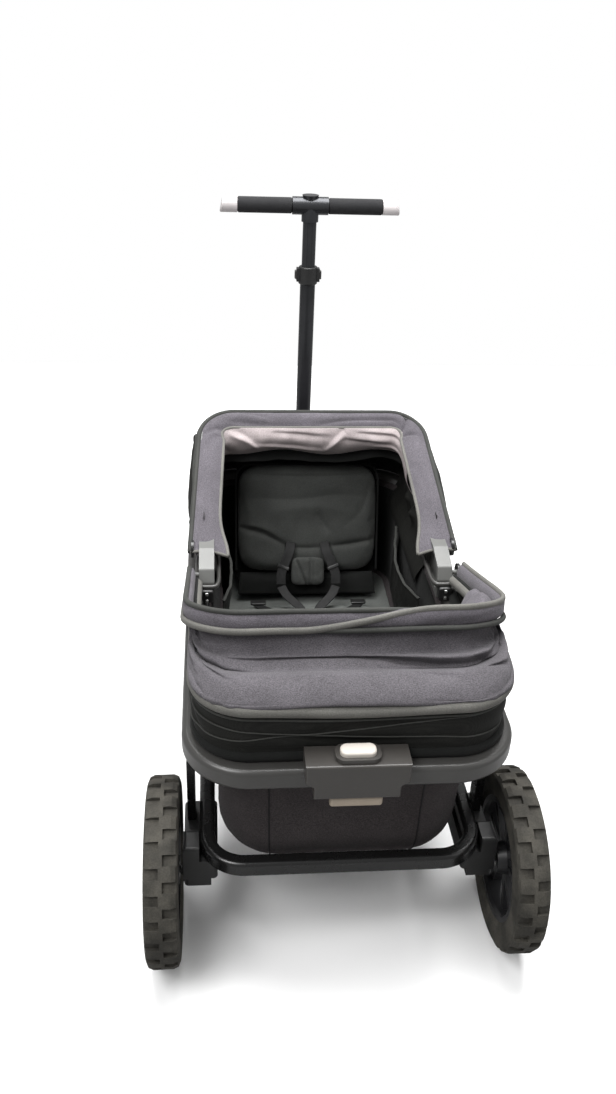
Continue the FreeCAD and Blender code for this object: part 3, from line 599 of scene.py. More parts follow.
TUB_SEAM = plain_cloth("tub_piping", (0.014, 0.013, 0.014), 260, 0.15, (0.6, 0.8))
WEBBING = plain_cloth("webbing", (0.010, 0.010, 0.010), 240, 0.1, (0.5, 0.75))
BUMPER = moulded("bumper_grey", (0.040, 0.039, 0.037), (0.27, 0.38), 1400, 0.08)
CHANNEL = moulded("channel_grey", (0.095, 0.095, 0.091), (0.3, 0.42), 1400, 0.08)
POST = moulded("post_grey", (0.105, 0.106, 0.101), (0.35, 0.5))
LATCH = moulded("latch_grey", (0.038, 0.035, 0.032), (0.30, 0.42))
CREAM = moulded("button_cream", (0.50, 0.465, 0.42), (0.35, 0.5), 1400, 0.06)
BEIGE = moulded("lever_beige", (0.33, 0.275, 0.215), (0.4, 0.55), 1400, 0.06)
BLACK_PLASTIC = moulded("black_plastic", (0.010, 0.010, 0.010), (0.35, 0.5))
CAP = moulded("cap_pale", (0.50, 0.47, 0.47), (0.3, 0.45), 1400, 0.06)
FRAME_BLACK = moulded("frame_black", (0.006, 0.006, 0.006), (0.22, 0.32), 900, 0.02)
POLE = metal("pole_anodised", (0.040, 0.041, 0.044), (0.24, 0.4), 0.75, (6, 6, 0.3))
STEEL = metal("bright_steel", (0.55, 0.55, 0.54), (0.2, 0.35), 1.0, (0.3, 6, 6))
RUBBER = rubber("tyre_rubber", (0.034, 0.032, 0.027), (0.072, 0.067, 0.056))
CASTER_RUBBER = rubber("caster_rubber", (0.020, 0.020, 0.020), (0.060, 0.056, 0.048))
RIM = moulded("rim_black", (0.010, 0.010, 0.011), (0.3, 0.46))
FOAM = foam("grip_foam", (0.014, 0.014, 0.015))

CAD_FINISHES = {
    "lower_loop": FRAME_BLACK, "near_bracket_": BLACK_PLASTIC, "caster_housing_": BLACK_PLASTIC,
    "stub_axles": BLACK_PLASTIC, "handle_bracket": BLACK_PLASTIC, "handle_pivot_pin": STEEL,
    "seat_hinge": FRAME_BLACK, "floor_boards": BASE_CLOTH, "harness_buckle": BLACK_PLASTIC,
    "near_bumper": BUMPER, "far_bumper": BUMPER, "side_rail_": BUMPER, "guide_posts": FRAME_BLACK,
    "mid_post_": POST, "scissor_arms_": FRAME_BLACK, "latch_housing": LATCH, "latch_button": CREAM,
    "squeeze_lever": BEIGE, "near_tyre_": RUBBER, "near_rim_": RIM, "near_bearings_": STEEL,
    "near_hub_button_": BUMPER, "caster_fork_": BLACK_PLASTIC, "caster_axle_": STEEL,
    "caster_tyre_": CASTER_RUBBER, "caster_rim_": RIM, "handle_lower_tube": POLE,
    "handle_upper_tube": POLE, "handle_collar": BLACK_PLASTIC, "collar_button_": BUMPER,
    "handle_tee": POLE, "grip_": FOAM, "end_cap_": CAP, "near_bow": FRAME_BLACK, "far_bow": FRAME_BLACK,
    "seat_back_board": BLACK_CLOTH, "tub_shell": TUB_CLOTH, "seat_pad": BASE_CLOTH,
    "mesh_band": NET, "near_canopy": HEATHER, "far_canopy": HEATHER, "seat_back_pad": SEAT_CLOTH,
    "lumbar_cushion": SEAT_CLOTH, "harness_straps": WEBBING,
}


def finish_cad_nodes():
    for obj in list(bpy.context.scene.objects):
        node = obj.get("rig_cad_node")
        if node is None:
            continue
        found = [m for start, m in CAD_FINISHES.items() if node.startswith(start)]
        if not obj.material_slots:
            obj.data.materials.append(found[0])
        for slot in obj.material_slots:
            slot.material = found[0]


# Near end: mesh band, lowered canopy, rim

def band_top(y):
    """Height of the mesh band's upper edge: level at the near end, then down along the canopy bow."""
    under = PIVOT_NEAR.z + (PIVOT_NEAR.y - y) * math.tan(NEAR_TILT) - 0.014
    gap = under - 0.547
    return 0.547 + (gap - np.sqrt(gap ** 2 + 0.012 ** 2)) / 2


def band_grid(rows, count, low=None):
    """The mesh band as a grid, from its upper edge (v = 0) down."""
    x, t, nx, nt = u_path(BAND_HALF, BAND_REACH, BAND_CORNER, count, 0.054)
    y, ny = -t, -nt
    top = band_top(y) - 0.006 * bump(x, 0, 0.12) * smooth(t, 0.4, 0.48)
    v = np.linspace(0, 1, rows)[:, None]
    z = top[None, :] * (1 - v) + (BAND_LOW if low is None else low) * v
    a = (0.5 - np.linspace(0, 1, count)[None, :]) * 1.23
    b = 0.095 * v
    loose = np.sin(np.pi * v)
    slack = 0.005 * loose + 0.011 * loose * smooth(-t, -0.42, -0.30) - 0.002 * v
    slack = slack + 0.0028 * loose * wobble(a * 24, v * 5, 3)
    for points, depth, width in BAND_FOLDS:
        slack = slack - depth * loose * fold(a, b, points, width)
    return np.stack(np.broadcast_arrays(x + nx * slack, y + ny * slack, z), -1)


def make_mesh_band():
    grid = finer(band_grid(18, 170))
    band = surface("near_mesh_band", grid, NET)
    thicken(band, 0.0012)
    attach(band, "upper_frame")
    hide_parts("mesh_band")
    crossings = {"a": (0.30, 0.72, 0.70, 0.34), "b": (0.34, 0.74, 0.12, 0.78)}
    for key, (start, stop, from_v, to_v) in crossings.items():
        share = np.linspace(0, 1, 90)
        line = sample(grid, start + (stop - start) * share,
                      from_v + (to_v - from_v) * smooth(share, -0.3, 1.3))
        line = line + 0.0010 * np.sign(line) * np.array([1, 1, 0])
        piping(f"mesh_seam_{key}", line, 0.0012, SEAM, "upper_frame")
    piping("mesh_top_roll", grid[0] + np.array([0, 0, -0.0015]), 0.0105, PIPING, "upper_frame")
    piping("mesh_roll_edge", band_grid(2, 220)[0] + np.array([0, 0, 0.0095]), 0.0032, BLACK_CLOTH,
           "upper_frame")
    tape = sample(grid, np.linspace(0, 1, 220), np.full(220, 0.17)) * np.array([1.003, 1.003, 1])
    piping("mesh_zip_tape", tape, 0.0022, SEAM, "upper_frame")
    foot = band_grid(2, 160)[1] + np.array([0, 0, 0.005])
    piping("mesh_foot_roll", foot, 0.0090, BLACK_CLOTH, "upper_frame")


def canopy_sides():
    """The near canopy's upper and lower edge, the way outwards, and how near to the closed end."""
    count = 170
    x1, t1, _, _ = u_path(BOW_HALF - 0.002, BOW_REACH - 0.004, BOW_CORNER, count, 0.055)
    top = on_bow(-1, x1, t1, -0.010)
    x0, t0, nx0, nt0 = u_path(BAND_HALF + 0.004, BAND_REACH + 0.004, BAND_CORNER, count, 0.075)
    low = np.stack([x0, -t0, band_top(-t0) + 0.010], 1)
    return top, low, outward_of(nx0, -nt0), smooth(t0, 0.16, 0.42)


def canopy_start():
    """The loose near canopy, drawn from the rim (v = 0) in slack loops to the mesh band's roll."""
    top, low, outward, closed = canopy_sides()
    rows = 34
    # share of the way down, outwards, and up, at even steps of cloth
    stations = np.array([(0, 0, 0), (0.05, -0.004, -0.013), (0.13, -0.008, -0.024), (0.30, 0.002, -0.006),
                         (0.42, 0.000, -0.011), (0.60, 0.003, 0.008), (0.82, 0.006, 0.014),
                         (1.00, 0.007, 0.008), (1.03, 0.004, 0.001), (1, 0, 0)])
    shape = along(stations, rows)
    share, out, up = (shape[:, k][:, None, None] for k in range(3))
    near = (0.25 + 0.75 * closed)[None, :, None]
    grid = top[None] * (1 - share) + low[None] * share
    grid = grid + outward[None] * (out * near + 0.008 * np.sin(np.pi * share.clip(0, 1)) * (1 - near))
    return grid + np.array([0, 0, 1]) * up * near


def make_near_canopy():
    grid = canopy_start()
    rows, count = grid.shape[:2]
    draft = surface("canopy_draft", grid, SHADED_HEATHER)
    pins = draft.vertex_groups.new(name="pins")
    index = np.arange(rows * count).reshape(rows, count)
    held = np.concatenate([index[0], index[-1], index[:, 0], index[:, -1]])
    pins.add([int(n) for n in np.unique(held)], 1.0, "REPLACE")
    cloth = draft.modifiers.new("slump", "CLOTH")
    cloth.settings.vertex_group_mass = "pins"
    cloth.settings.mass = 0.25
    cloth.settings.tension_stiffness = cloth.settings.compression_stiffness = 18
    cloth.settings.shear_stiffness = 8
    cloth.settings.bending_stiffness = 1.5
    cloth.settings.quality = 7
    cloth.collision_settings.use_self_collision = True
    cloth.collision_settings.self_distance_min = 0.002
    step_cloth(draft, 22)
    moved = vertices(draft).reshape(grid.shape) - grid
    length = np.linalg.norm(moved, axis=2, keepdims=True)
    grid = grid + moved * np.minimum(1, 0.012 / np.maximum(length, 1e-9))
    bpy.data.objects.remove(draft)
    _, _, outward, closed = canopy_sides()
    outward = finer(np.broadcast_to(outward, grid.shape))
    closed = finer(np.broadcast_to(closed[:, None], grid.shape))[..., :1]
    grid = finer(grid)
    rows, count = grid.shape[:2]
    a = (0.5 - np.linspace(0, 1, count)[None, :]) * CANOPY_LENGTH
    b = np.linspace(0, 1, rows)[:, None] * CANOPY_DROP
    loose = np.sin(np.pi * b / CANOPY_DROP) ** 0.5
    depth = (0.0022 * wobble(a * 30, b * 60, 11)
             - 0.0045 * bump(b, 0.125, 0.035) * wobble(a * 11, b * 16, 12, 2))
    for points, deep, width in CANOPY_FOLDS:
        depth = depth + 1.5 * deep * (fold(a, b, points, width)
                                      - 0.6 * fold(a, b + 1.2 * width, points, 1.4 * width))
    inward = -(depth * loose)[..., None]
    grid = grid + outward * inward * 0.8 + np.array([0, 0, 1]) * inward * (0.5 * closed)
    # The canopy wears the darker heather copy: painted shade under the rim
    canopy = surface("near_canopy_cloth", grid, SHADED_HEATHER)
    thicken(canopy, 0.0012)
    canopy = settle(canopy)
    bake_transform(canopy)
    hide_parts("near_canopy")


def make_near_rim():
    count = 260
    x, t, nx, nt = u_path(BOW_HALF - 0.002, BOW_REACH - 0.003, BOW_CORNER, count, 0.020)
    s = np.linspace(0, 1, count)
    a = (0.5 - s) * 1.0
    droop = 0.003 * wobble(s * 14, 0 * s, 5)
    turn = 0.30 * smooth(a, 0.05, 0.30)

    def around(across, up):
        """A place on the sleeve's section, a little outside the bow and up from its plane."""
        out = across * np.cos(turn) + up * np.sin(turn) * 0.4
        return on_bow(-1, x + nx * out, t + nt * out, up + droop)

    section = []
    for k in range(20):
        angle = 2 * math.pi * k / 20
        across, up = 0.0085 * math.cos(angle) + 0.001, 0.0150 * math.sin(angle) + 0.0030
        puff = 0.0012 * wobble(s * 50, 3 * math.sin(angle) + 0 * s, 8)
        for points, deep, width in RIM_FOLDS:
            puff = puff - deep * fold(a, 0.018 - up, points, width)
        section.append(around(across + puff * (1 if math.cos(angle) > -0.2 else 0), up))
    sleeve = surface("near_rim_sleeve", np.array(section), HEATHER, wrap_rows=True, caps=True)
    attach(sleeve, "near_canopy_bow")
    tucked = smooth(a, 0.02, 0.12)
    first = around(0.004 - 0.010 * tucked, 0.0175 - 0.006 * tucked)
    piping("near_rim_piping_first", first[a < 0.13], 0.0046, SEAM, "near_canopy_bow")
    crossing = smooth(a, -0.08, 0.13)
    second = around(0.0085 + 0.003 * bump(crossing, 0.5, 0.3) - 0.005 * crossing,
                    -0.0115 + 0.0290 * crossing)
    broad = [(0.0042 * math.cos(2 * math.pi * k / 10), 0.0060 * math.sin(2 * math.pi * k / 10))
             for k in range(10)]
    tape = sweep("near_rim_piping_second", second, (0, 0, 1), broad, PIPING)
    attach(tape, "near_canopy_bow")
    third = around(0.0085 - 0.006 * smooth(-a, 0.0, 0.06), -0.0130)
    piping("near_rim_piping_third", third[a > -0.05], 0.0046, SEAM, "near_canopy_bow")


def make_rim_tuck():
    """Spare cloth turned over the rim at its +X corner, and bunched on the inside."""
    rows, count = 22, 60
    x, t, nx, nt = u_path(BOW_HALF - 0.008, BOW_REACH - 0.010, BOW_CORNER - 0.008, 400, 0.020)
    a = (0.5 - np.linspace(0, 1, 400)) * 1.0
    part = (a > 0.105) & (a < 0.385)
    pick = np.linspace(0, part.sum() - 1, count).astype(int)
    x, t, nx, nt = (q[part][pick][None, :] for q in (x, t, nx, nt))
    u = np.linspace(0, 1, count)[None, :]
    v = np.linspace(0, 1, rows)[:, None]
    hump = np.sin(np.pi * u) ** 0.7
    inward = (0.010 + 0.052 * hump) * v + 0.006 * np.sin(np.pi * v) * wobble(u * 9, v * 6, 21)
    up = -0.004 + 0.030 * hump * np.sin(np.pi * v ** 0.8) - 0.035 * v ** 2
    for points, deep in (([(0.2, 0.0), (0.32, 0.5), (0.3, 1.0)], 0.007),
                         ([(0.55, 0.0), (0.6, 0.6), (0.5, 1.0)], 0.008),
                         ([(0.85, 0.1), (0.75, 0.5), (0.7, 0.9)], 0.006)):
        up = up - deep * fold(u, v, points, 0.07)
    tuck = surface("near_rim_tuck", finer(on_bow(-1, x - nx * inward, t - nt * inward, up)), HEATHER)
    thicken(tuck, 0.0012)
    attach(tuck, "near_canopy_bow")


# Far end: visor, hood, liner

def make_visor():
    count, rows = 300, 16
    x, t, nx, nt = bow_line(1, count, -0.012, -0.001)
    s = np.linspace(0, 1, count)[None, :]
    v = np.linspace(0, 1, rows)[:, None]
    top = smooth(t, 0.30, 0.355)[None, :]
    flare = 1 + 0.40 * (bump(s, 0, 0.05) + bump(s, 1, 0.05))
    width = (VISOR_W - 0.014 * top) * flare
    a = (0.5 - s) * 1.06
    b = 0.050 * v
    loose = np.sin(np.pi * v)
    up = 0.006 + 0.008 * loose - 0.010 * v + 0.0014 * loose * wobble(a * 60, v * 4, 31)
    for points, deep, wide in VISOR_FOLDS:
        up = up - deep * fold(a, b, points, wide)
    grid = on_bow(1, x - nx * width * v, t - nt * width * v, up)
    visor = surface("far_visor_band", grid, HEATHER)
    thicken(visor, 0.0016)
    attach(visor, "far_canopy_bow")
    edge = on_bow(1, x + nx * 0.001, t + nt * 0.001, 0.006)
    piping("far_piping_outer", edge, 0.0050, SEAM, "far_canopy_bow")
    piping("far_piping_inner", grid[-1], 0.0036, PIPING, "far_canopy_bow")
    for key, column in (("right", grid[:, 0]), ("left", grid[:, -1])):
        piping(f"visor_hem_{key}", column, 0.0032, PIPING, "far_canopy_bow")


def hood_grid(rows, count, swell=0.0):
    x1, t1, _, _ = bow_line(1, count, 0.035)
    top = on_bow(1, x1, t1, 0.002)
    x0, t0, nx0, nt0 = u_path(0.2405, 0.500, 0.085, count, 0.066)
    low = np.stack([x0, t0, np.full(count, BAND_LOW)], 1)
    middle = low.copy()
    middle[:, 2] = np.minimum(top[:, 2] + 0.006, 0.606)
    middle[:, :2] += np.stack([nx0, nt0], 1) * 0.010
    v = np.linspace(0, 1, rows)[:, None, None]
    grid = (1 - v) ** 2 * top + 2 * v * (1 - v) * middle + v ** 2 * low
    s = np.linspace(0, 1, count)[None, :]
    loose = np.sin(np.pi * v[..., 0])
    waves = 0.0040 * loose * wobble(s * 26, v[..., 0] * 7, 41) + swell
    return grid + outward_of(nx0, nt0)[None] * waves[..., None]


def make_hood():
    grid = hood_grid(30, 200)
    hood = surface("far_hood_cloth", grid, HEATHER)
    thicken(hood, 0.0014)
    hood = settle(hood)
    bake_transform(hood)
    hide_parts("far_canopy")
    foot = grid[-1] + np.array([0, 0, 0.004])
    piping("hood_foot_piping", foot, 0.0050, SEAM, "upper_frame")
    share = np.linspace(0, 1, 120)
    for key, (start, stop) in {"right": (0.03, 0.24), "left": (0.97, 0.76)}.items():
        make_side_window(key, grid, start, stop)
    for key, place in {"right": 0.40, "left": 0.60}.items():
        seam = sample(grid, np.full(120, place), 0.02 + 0.96 * share)
        rib = sweep(f"hood_seam_{key}", seam, (0, 1, 0.2), circle(0.0016), SEAM)
        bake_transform(rib)


def make_side_window(key, grid, start, stop):
    """A dark mesh window with a slack pocket, on the side of the far hood."""
    rows, count = 16, 40
    a, v = np.meshgrid(np.linspace(0, 1, count), np.linspace(0.10, 0.90, rows))
    points = sample(grid, (start + (stop - start) * a).ravel(), v.ravel()).reshape(rows, count, 3)
    puff = 0.004 + 0.011 * np.sin(np.pi * a) * np.sin(np.pi * (v - 0.1) / 0.8)
    puff = puff + 0.002 * np.sin(np.pi * a) * wobble(a * 12, v * 12, 51)
    points[..., 0] += np.sign(points[..., 0]) * puff
    window = surface(f"hood_window_{key}", points, NET)
    thicken(window, 0.0012)
    window = settle(window)
    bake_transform(window)
    edge = np.concatenate([points[0, :-1], points[:-1, -1], points[-1, :0:-1], points[:0:-1, 0]])
    rim = sweep(f"hood_window_piping_{key}", edge, (1, 0, 0.01), circle(0.0030), SEAM, closed=True)
    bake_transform(rim)


def make_side_curtains():
    """Loose black cloth inside the far hood's sides, from the hood down over the ring's inner lip."""
    for side, sign in (("left", -1), ("right", 1)):
        a, v = np.meshgrid(np.linspace(0, 1, 70), np.linspace(0, 1, 26))
        z = 0.548 - 0.152 * v
        x = 0.227 - 0.009 * smooth(z, 0.52, 0.46) - 0.022 * smooth(z, 0.455, 0.40)
        b, c = 0.36 * a, 0.152 * v
        loose = np.sin(np.pi * v) * np.sin(np.pi * a) ** 0.5
        x = x - loose * np.abs(0.006 * wobble(b * 30, c * 14, 55)) * smooth(v, 0, 0.2)
        for points, deep, wide in (([(0.02, 0.02), (0.06, 0.06), (0.08, 0.12)], 0.012, 0.010),
                                   ([(0.10, 0.01), (0.14, 0.05), (0.15, 0.11)], 0.012, 0.009),
                                   ([(0.28, 0.02), (0.22, 0.05), (0.20, 0.12)], 0.010, 0.010),
                                   ([(0.03, 0.10), (0.12, 0.075), (0.30, 0.06)], 0.008, 0.009)):
            x = x - deep * fold(b, c, points, wide)
        grid = np.stack([sign * x, 0.080 + b, z], -1)
        curtain = surface(f"far_side_curtain_{side}", finer(grid), NET)
        thicken(curtain, 0.0010)
        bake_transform(curtain)


def make_liner():
    """Pale lining bunched inside the far bow, and the black facing that hangs below it."""
    rows, count = 30, 220
    x, t, nx, nt = bow_line(1, count, 0.235, 0.038)
    s = np.linspace(0, 1, count)[None, :]
    v = np.linspace(0, 1, rows)[:, None]
    a = (0.5 - s) * 0.60
    b = 0.075 * v
    start = on_bow(1, x, t, -0.002)
    length = 0.060 + 0.006 * np.sin(s * 17 + 0.6) + 0.026 * bump(s, 0.02, 0.07) + 0.020 * bump(s, 1.0, 0.08)
    away = 0.012 * v - 0.016 * np.sin(np.pi * v) + 0.0030 * np.sin(np.pi * v) * wobble(a * 50, v * 4, 61)
    for points, deep, wide in LINER_FOLDS:
        away = away + deep * (fold(a, b, points, wide) - 0.6 * fold(a, b + wide, points, wide))
    grid = start[None] + outward_of(nx, nt)[None] * away[..., None]
    grid = grid - np.array([0, 0, 1]) * (length * v)[..., None]
    liner = surface("far_liner", finer(grid), LINER)
    thicken(liner, 0.0008)
    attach(liner, "far_canopy_bow")
    hang = 0.030 + 0.007 * wobble(s * 18, 0 * v, 63)
    away = 0.014 + 0.010 * np.sin(np.pi * v) + 0.004 * wobble(a * 40, v * 5, 64)
    under = start[None] + outward_of(nx, nt)[None] * away[..., None]
    under = under - np.array([0, 0, 1]) * (length * 0.85 + hang * v)[..., None]
    facing = surface("far_facing", under, BLACK_CLOTH)
    thicken(facing, 0.0008)
    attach(facing, "far_canopy_bow")


def make_hood_lining():
    """Black cloth on the inside of the hood."""
    grid = hood_grid(24, 160, -0.006)
    grid[..., 1] -= 0.004
    lining = surface("far_hood_lining", grid, BLACK_CLOTH)
    thicken(lining, 0.0010)
    lining = settle(lining)
    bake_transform(lining)


# Tub

def tub_ring(half_w, half_l, corner, count):
    """A closed rounded rectangle from +X round the far end, as x, y and outward normal."""
    far = u_path(half_w, half_l, corner, count // 2 + 1)
    x = np.concatenate([far[0][:-1], -far[0][:-1]])
    y = np.concatenate([far[1][:-1], -far[1][:-1]])
    nx = np.concatenate([far[2][:-1], -far[2][:-1]])
    ny = np.concatenate([far[3][:-1], -far[3][:-1]])
    return x, y, nx, ny


def make_tub():
    count = 320
    rows, depth, top = [], 18, TUB_HIGH.z + 0.030
    for v in np.linspace(0, 1, depth):
        x, y, nx, ny = tub_ring(TUB_HIGH.x - 0.001, TUB_HIGH.y - 0.001, 0.057 + 0.040 * v, count)
        near = smooth(-y, 0.0, 0.05)
        floor = (TUB_LOW.z + 0.002) * near + (FAR_FLOOR_Z + 0.0005) * (1 - near)
        turn = 0.030 + 0.050 * near
        z = top + (floor + turn - top) * v
        pull = -0.016 * (1 - v) ** 3 + 0.002 * math.sin(math.pi * v)
        pull = pull + 0.0018 * math.sin(math.pi * v) * wobble(x * 22, y * 22 + v * 5, 71)
        rows.append(np.stack([x - nx * pull, y - ny * pull, z], 1))
    for angle in np.linspace(0, math.pi / 2, 9)[1:]:
        inset = turn * (1 - math.cos(angle))
        z = floor + turn * (1 - math.sin(angle))
        rows.append(np.stack([x - nx * inset, y - ny * inset, z], 1))
    edge = rows[-1]
    for share in np.linspace(0, 1, 10)[1:]:
        spine = np.stack([0 * x, edge[:, 1] * 0.8, edge[:, 2]], 1)
        low = edge * (1 - share) + spine * share
        inside = smooth(-low[:, 1], 0.0, 0.05)
        low[:, 2] = (TUB_LOW.z + 0.002) * inside + (FAR_FLOOR_Z + 0.0005) * (1 - inside)
        rows.append(low)
    grid = np.array(rows)
    tub = surface("tub_cloth", grid, TUB_CLOTH, wrap_columns=True)
    thicken(tub, 0.0018)
    tub = settle(tub)
    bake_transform(tub)
    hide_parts("tub_shell")
    for key, at in {"right": 0.128, "left": -0.128}.items():
        column = int(np.argmin(np.abs(grid[8, :, 0] - at) + (grid[8, :, 1] > -0.4)))
        line = grid[1:24, column] - np.array([0, 0.0010, 0])
        rib = sweep(f"tub_seam_{key}", line, (0, -1, 0.3), circle(0.0014), TUB_SEAM)
        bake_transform(rib)
    lining = grid[1:depth + 2].copy()
    x, y, nx, ny = tub_ring(1, 1, 0.3, count)
    lining[..., :2] -= 0.0045 * np.stack([nx, ny], 1)[None]
    inside = surface("tub_lining", lining, BLACK_CLOTH, wrap_columns=True)
    thicken(inside, 0.0010)
    inside = settle(inside)
    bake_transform(inside)


def make_side_pockets():
    """Slack black mesh pockets with a taped edge, inside each side wall."""
    for side, sign in (("left", -1), ("right", 1)):
        rows, count = 16, 60
        a = np.linspace(0, 1, count)[None, :]
        v = np.linspace(0, 1, rows)[:, None]
        y = 0.005 + 0.29 * a
        z = 0.405 - 0.020 * np.sin(np.pi * a) * (1 - v) - 0.15 * v
        slack = 0.020 * np.sin(np.pi * a) * (1 - 0.6 * v) + 0.004 * wobble(a * 14, v * 10, 81)
        x = sign * (TUB_HIGH.x - 0.012 - np.abs(slack))
        grid = np.stack(np.broadcast_arrays(x, y, z), -1)
        pocket = surface(f"side_pocket_{side}", grid, NET)
        thicken(pocket, 0.0010)
        pocket = settle(pocket)
        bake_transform(pocket)
        tape = sweep(f"pocket_tape_{side}", grid[0], (0, 0, 1), circle(0.0030, 10, 0.6), SEAM)
        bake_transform(tape)


# Seat

def lean(points):
    """From a seat back standing upright on its hinge to the leaning rest position."""
    p = np.asarray(points, float)
    y = SEAT_PIVOT.y + p[..., 1] * math.cos(SEAT_LEAN) + p[..., 2] * math.sin(SEAT_LEAN)
    z = SEAT_PIVOT.z - p[..., 1] * math.sin(SEAT_LEAN) + p[..., 2] * math.cos(SEAT_LEAN)
    return np.stack([p[..., 0], y, z], -1)


def pillow(name, size, material, cells, corner=0.5):
    """A soft closed block round the origin, as wide, deep and high as size, with a rounded outline."""
    made = bmesh.new()
    bmesh.ops.create_cube(made, size=1.0)
    bmesh.ops.subdivide_edges(made, edges=made.edges, cuts=cells, use_grid_fill=True)
    mesh = bpy.data.meshes.new(name)
    made.to_mesh(mesh)
    made.free()
    obj = add_object(name, mesh, material)
    p = vertices(obj) * 2
    radius = np.maximum(np.linalg.norm(p, ord=6, axis=1), 1e-6)
    p = p / radius[:, None] * np.abs(p).max(1)[:, None] ** corner
    set_vertices(obj, p * np.array(size) / 2)
    return obj


def swell(obj, cap, pressure=4.0, voxel=0.005):
    """Remesh, inflate with cloth pressure, and keep every point within cap of where it was."""
    remesh = obj.modifiers.new("even cells", "REMESH")
    remesh.mode = "VOXEL"
    remesh.voxel_size = voxel
    settle(obj)
    before = vertices(obj)
    cloth = obj.modifiers.new("pressure", "CLOTH")
    cloth.settings.use_pressure = True
    cloth.settings.uniform_pressure_force = pressure
    cloth.settings.effector_weights.gravity = 0
    cloth.settings.tension_stiffness = 20
    cloth.settings.bending_stiffness = 0.4
    step_cloth(obj, 20)
    moved = vertices(obj) - before
    length = np.linalg.norm(moved, axis=1)
    share = np.minimum(1, cap / np.maximum(length, 1e-9))
    set_vertices(obj, before + moved * share[:, None])
    return obj


def make_seat_back():
    pad = pillow("seat_back_cushion", (0.322, 0.032, 0.252), SEAT_CLOTH, 12)
    swell(pad, 0.006)
    subdivide(pad)
    p = vertices(pad)
    a, b = p[:, 0], p[:, 2]
    front = smooth(-p[:, 1], -0.004, 0.008)
    relief = 0.0020 * wobble(a * 26, b * 30, 91)
    for points, deep, wide in SEAT_FOLDS:
        relief = relief + deep * fold(a, b, points, wide)
    p[:, 1] = np.minimum(p[:, 1] + front * relief, 0.0195)
    set_vertices(pad, lean(p + np.array([0, -0.0245, 0.160])))
    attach(pad, "seat_back")
    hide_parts("seat_back_pad")
    outline = u_path(0.1595, 0.121, 0.032, 160, -0.121)
    loop = np.stack([outline[0], np.full(160, -0.026), outline[1] + 0.160], 1)
    piping("seat_back_piping", lean(loop), 0.0024, BLACK_CLOTH, "seat_back", hint=(0, 1, 0))


def make_lumbar():
    cushion = pillow("lumbar_pad", (0.074, 0.019, 0.062), SEAT_CLOTH, 10)
    swell(cushion, 0.004, voxel=0.003)
    subdivide(cushion)
    p = vertices(cushion)
    tuft = bump(p[:, 0], 0.008, 0.005) + 0.8 * bump(p[:, 0] + 0.4 * p[:, 2], -0.016, 0.004)
    p[:, 1] += smooth(-p[:, 1], 0.0, 0.006) * (0.005 * tuft + 0.002 * wobble(p[:, 0] * 70, p[:, 2] * 70, 95))
    set_vertices(cushion, lean(p + np.array([0, -0.0555, 0.044])))
    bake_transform(cushion)
    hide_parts("lumbar_cushion")


def make_seat_base():
    low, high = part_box("seat_pad")
    size = high - low
    pad = pillow("seat_base_cushion", (size.x - 0.006, size.y - 0.006, size.z + 0.002), BASE_CLOTH, 14)
    swell(pad, 0.005)
    subdivide(pad)
    p = vertices(pad)
    top = smooth(p[:, 2], 0.0, 0.005)
    quilting = (bump(np.abs(p[:, 0]), 0.085, 0.004)
                + bump(p[:, 1], -0.045 + 0.02 * np.cos(p[:, 0] * 20), 0.004))
    p[:, 2] += top * (-0.004 * np.minimum(quilting, 1) + 0.0012 * wobble(p[:, 0] * 25, p[:, 1] * 25, 97))
    p[:, 2] = np.maximum(p[:, 2], -size.z / 2)
    set_vertices(pad, p + np.array((low + high) / 2))
    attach(pad, "lower_frame")
    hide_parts("seat_pad")


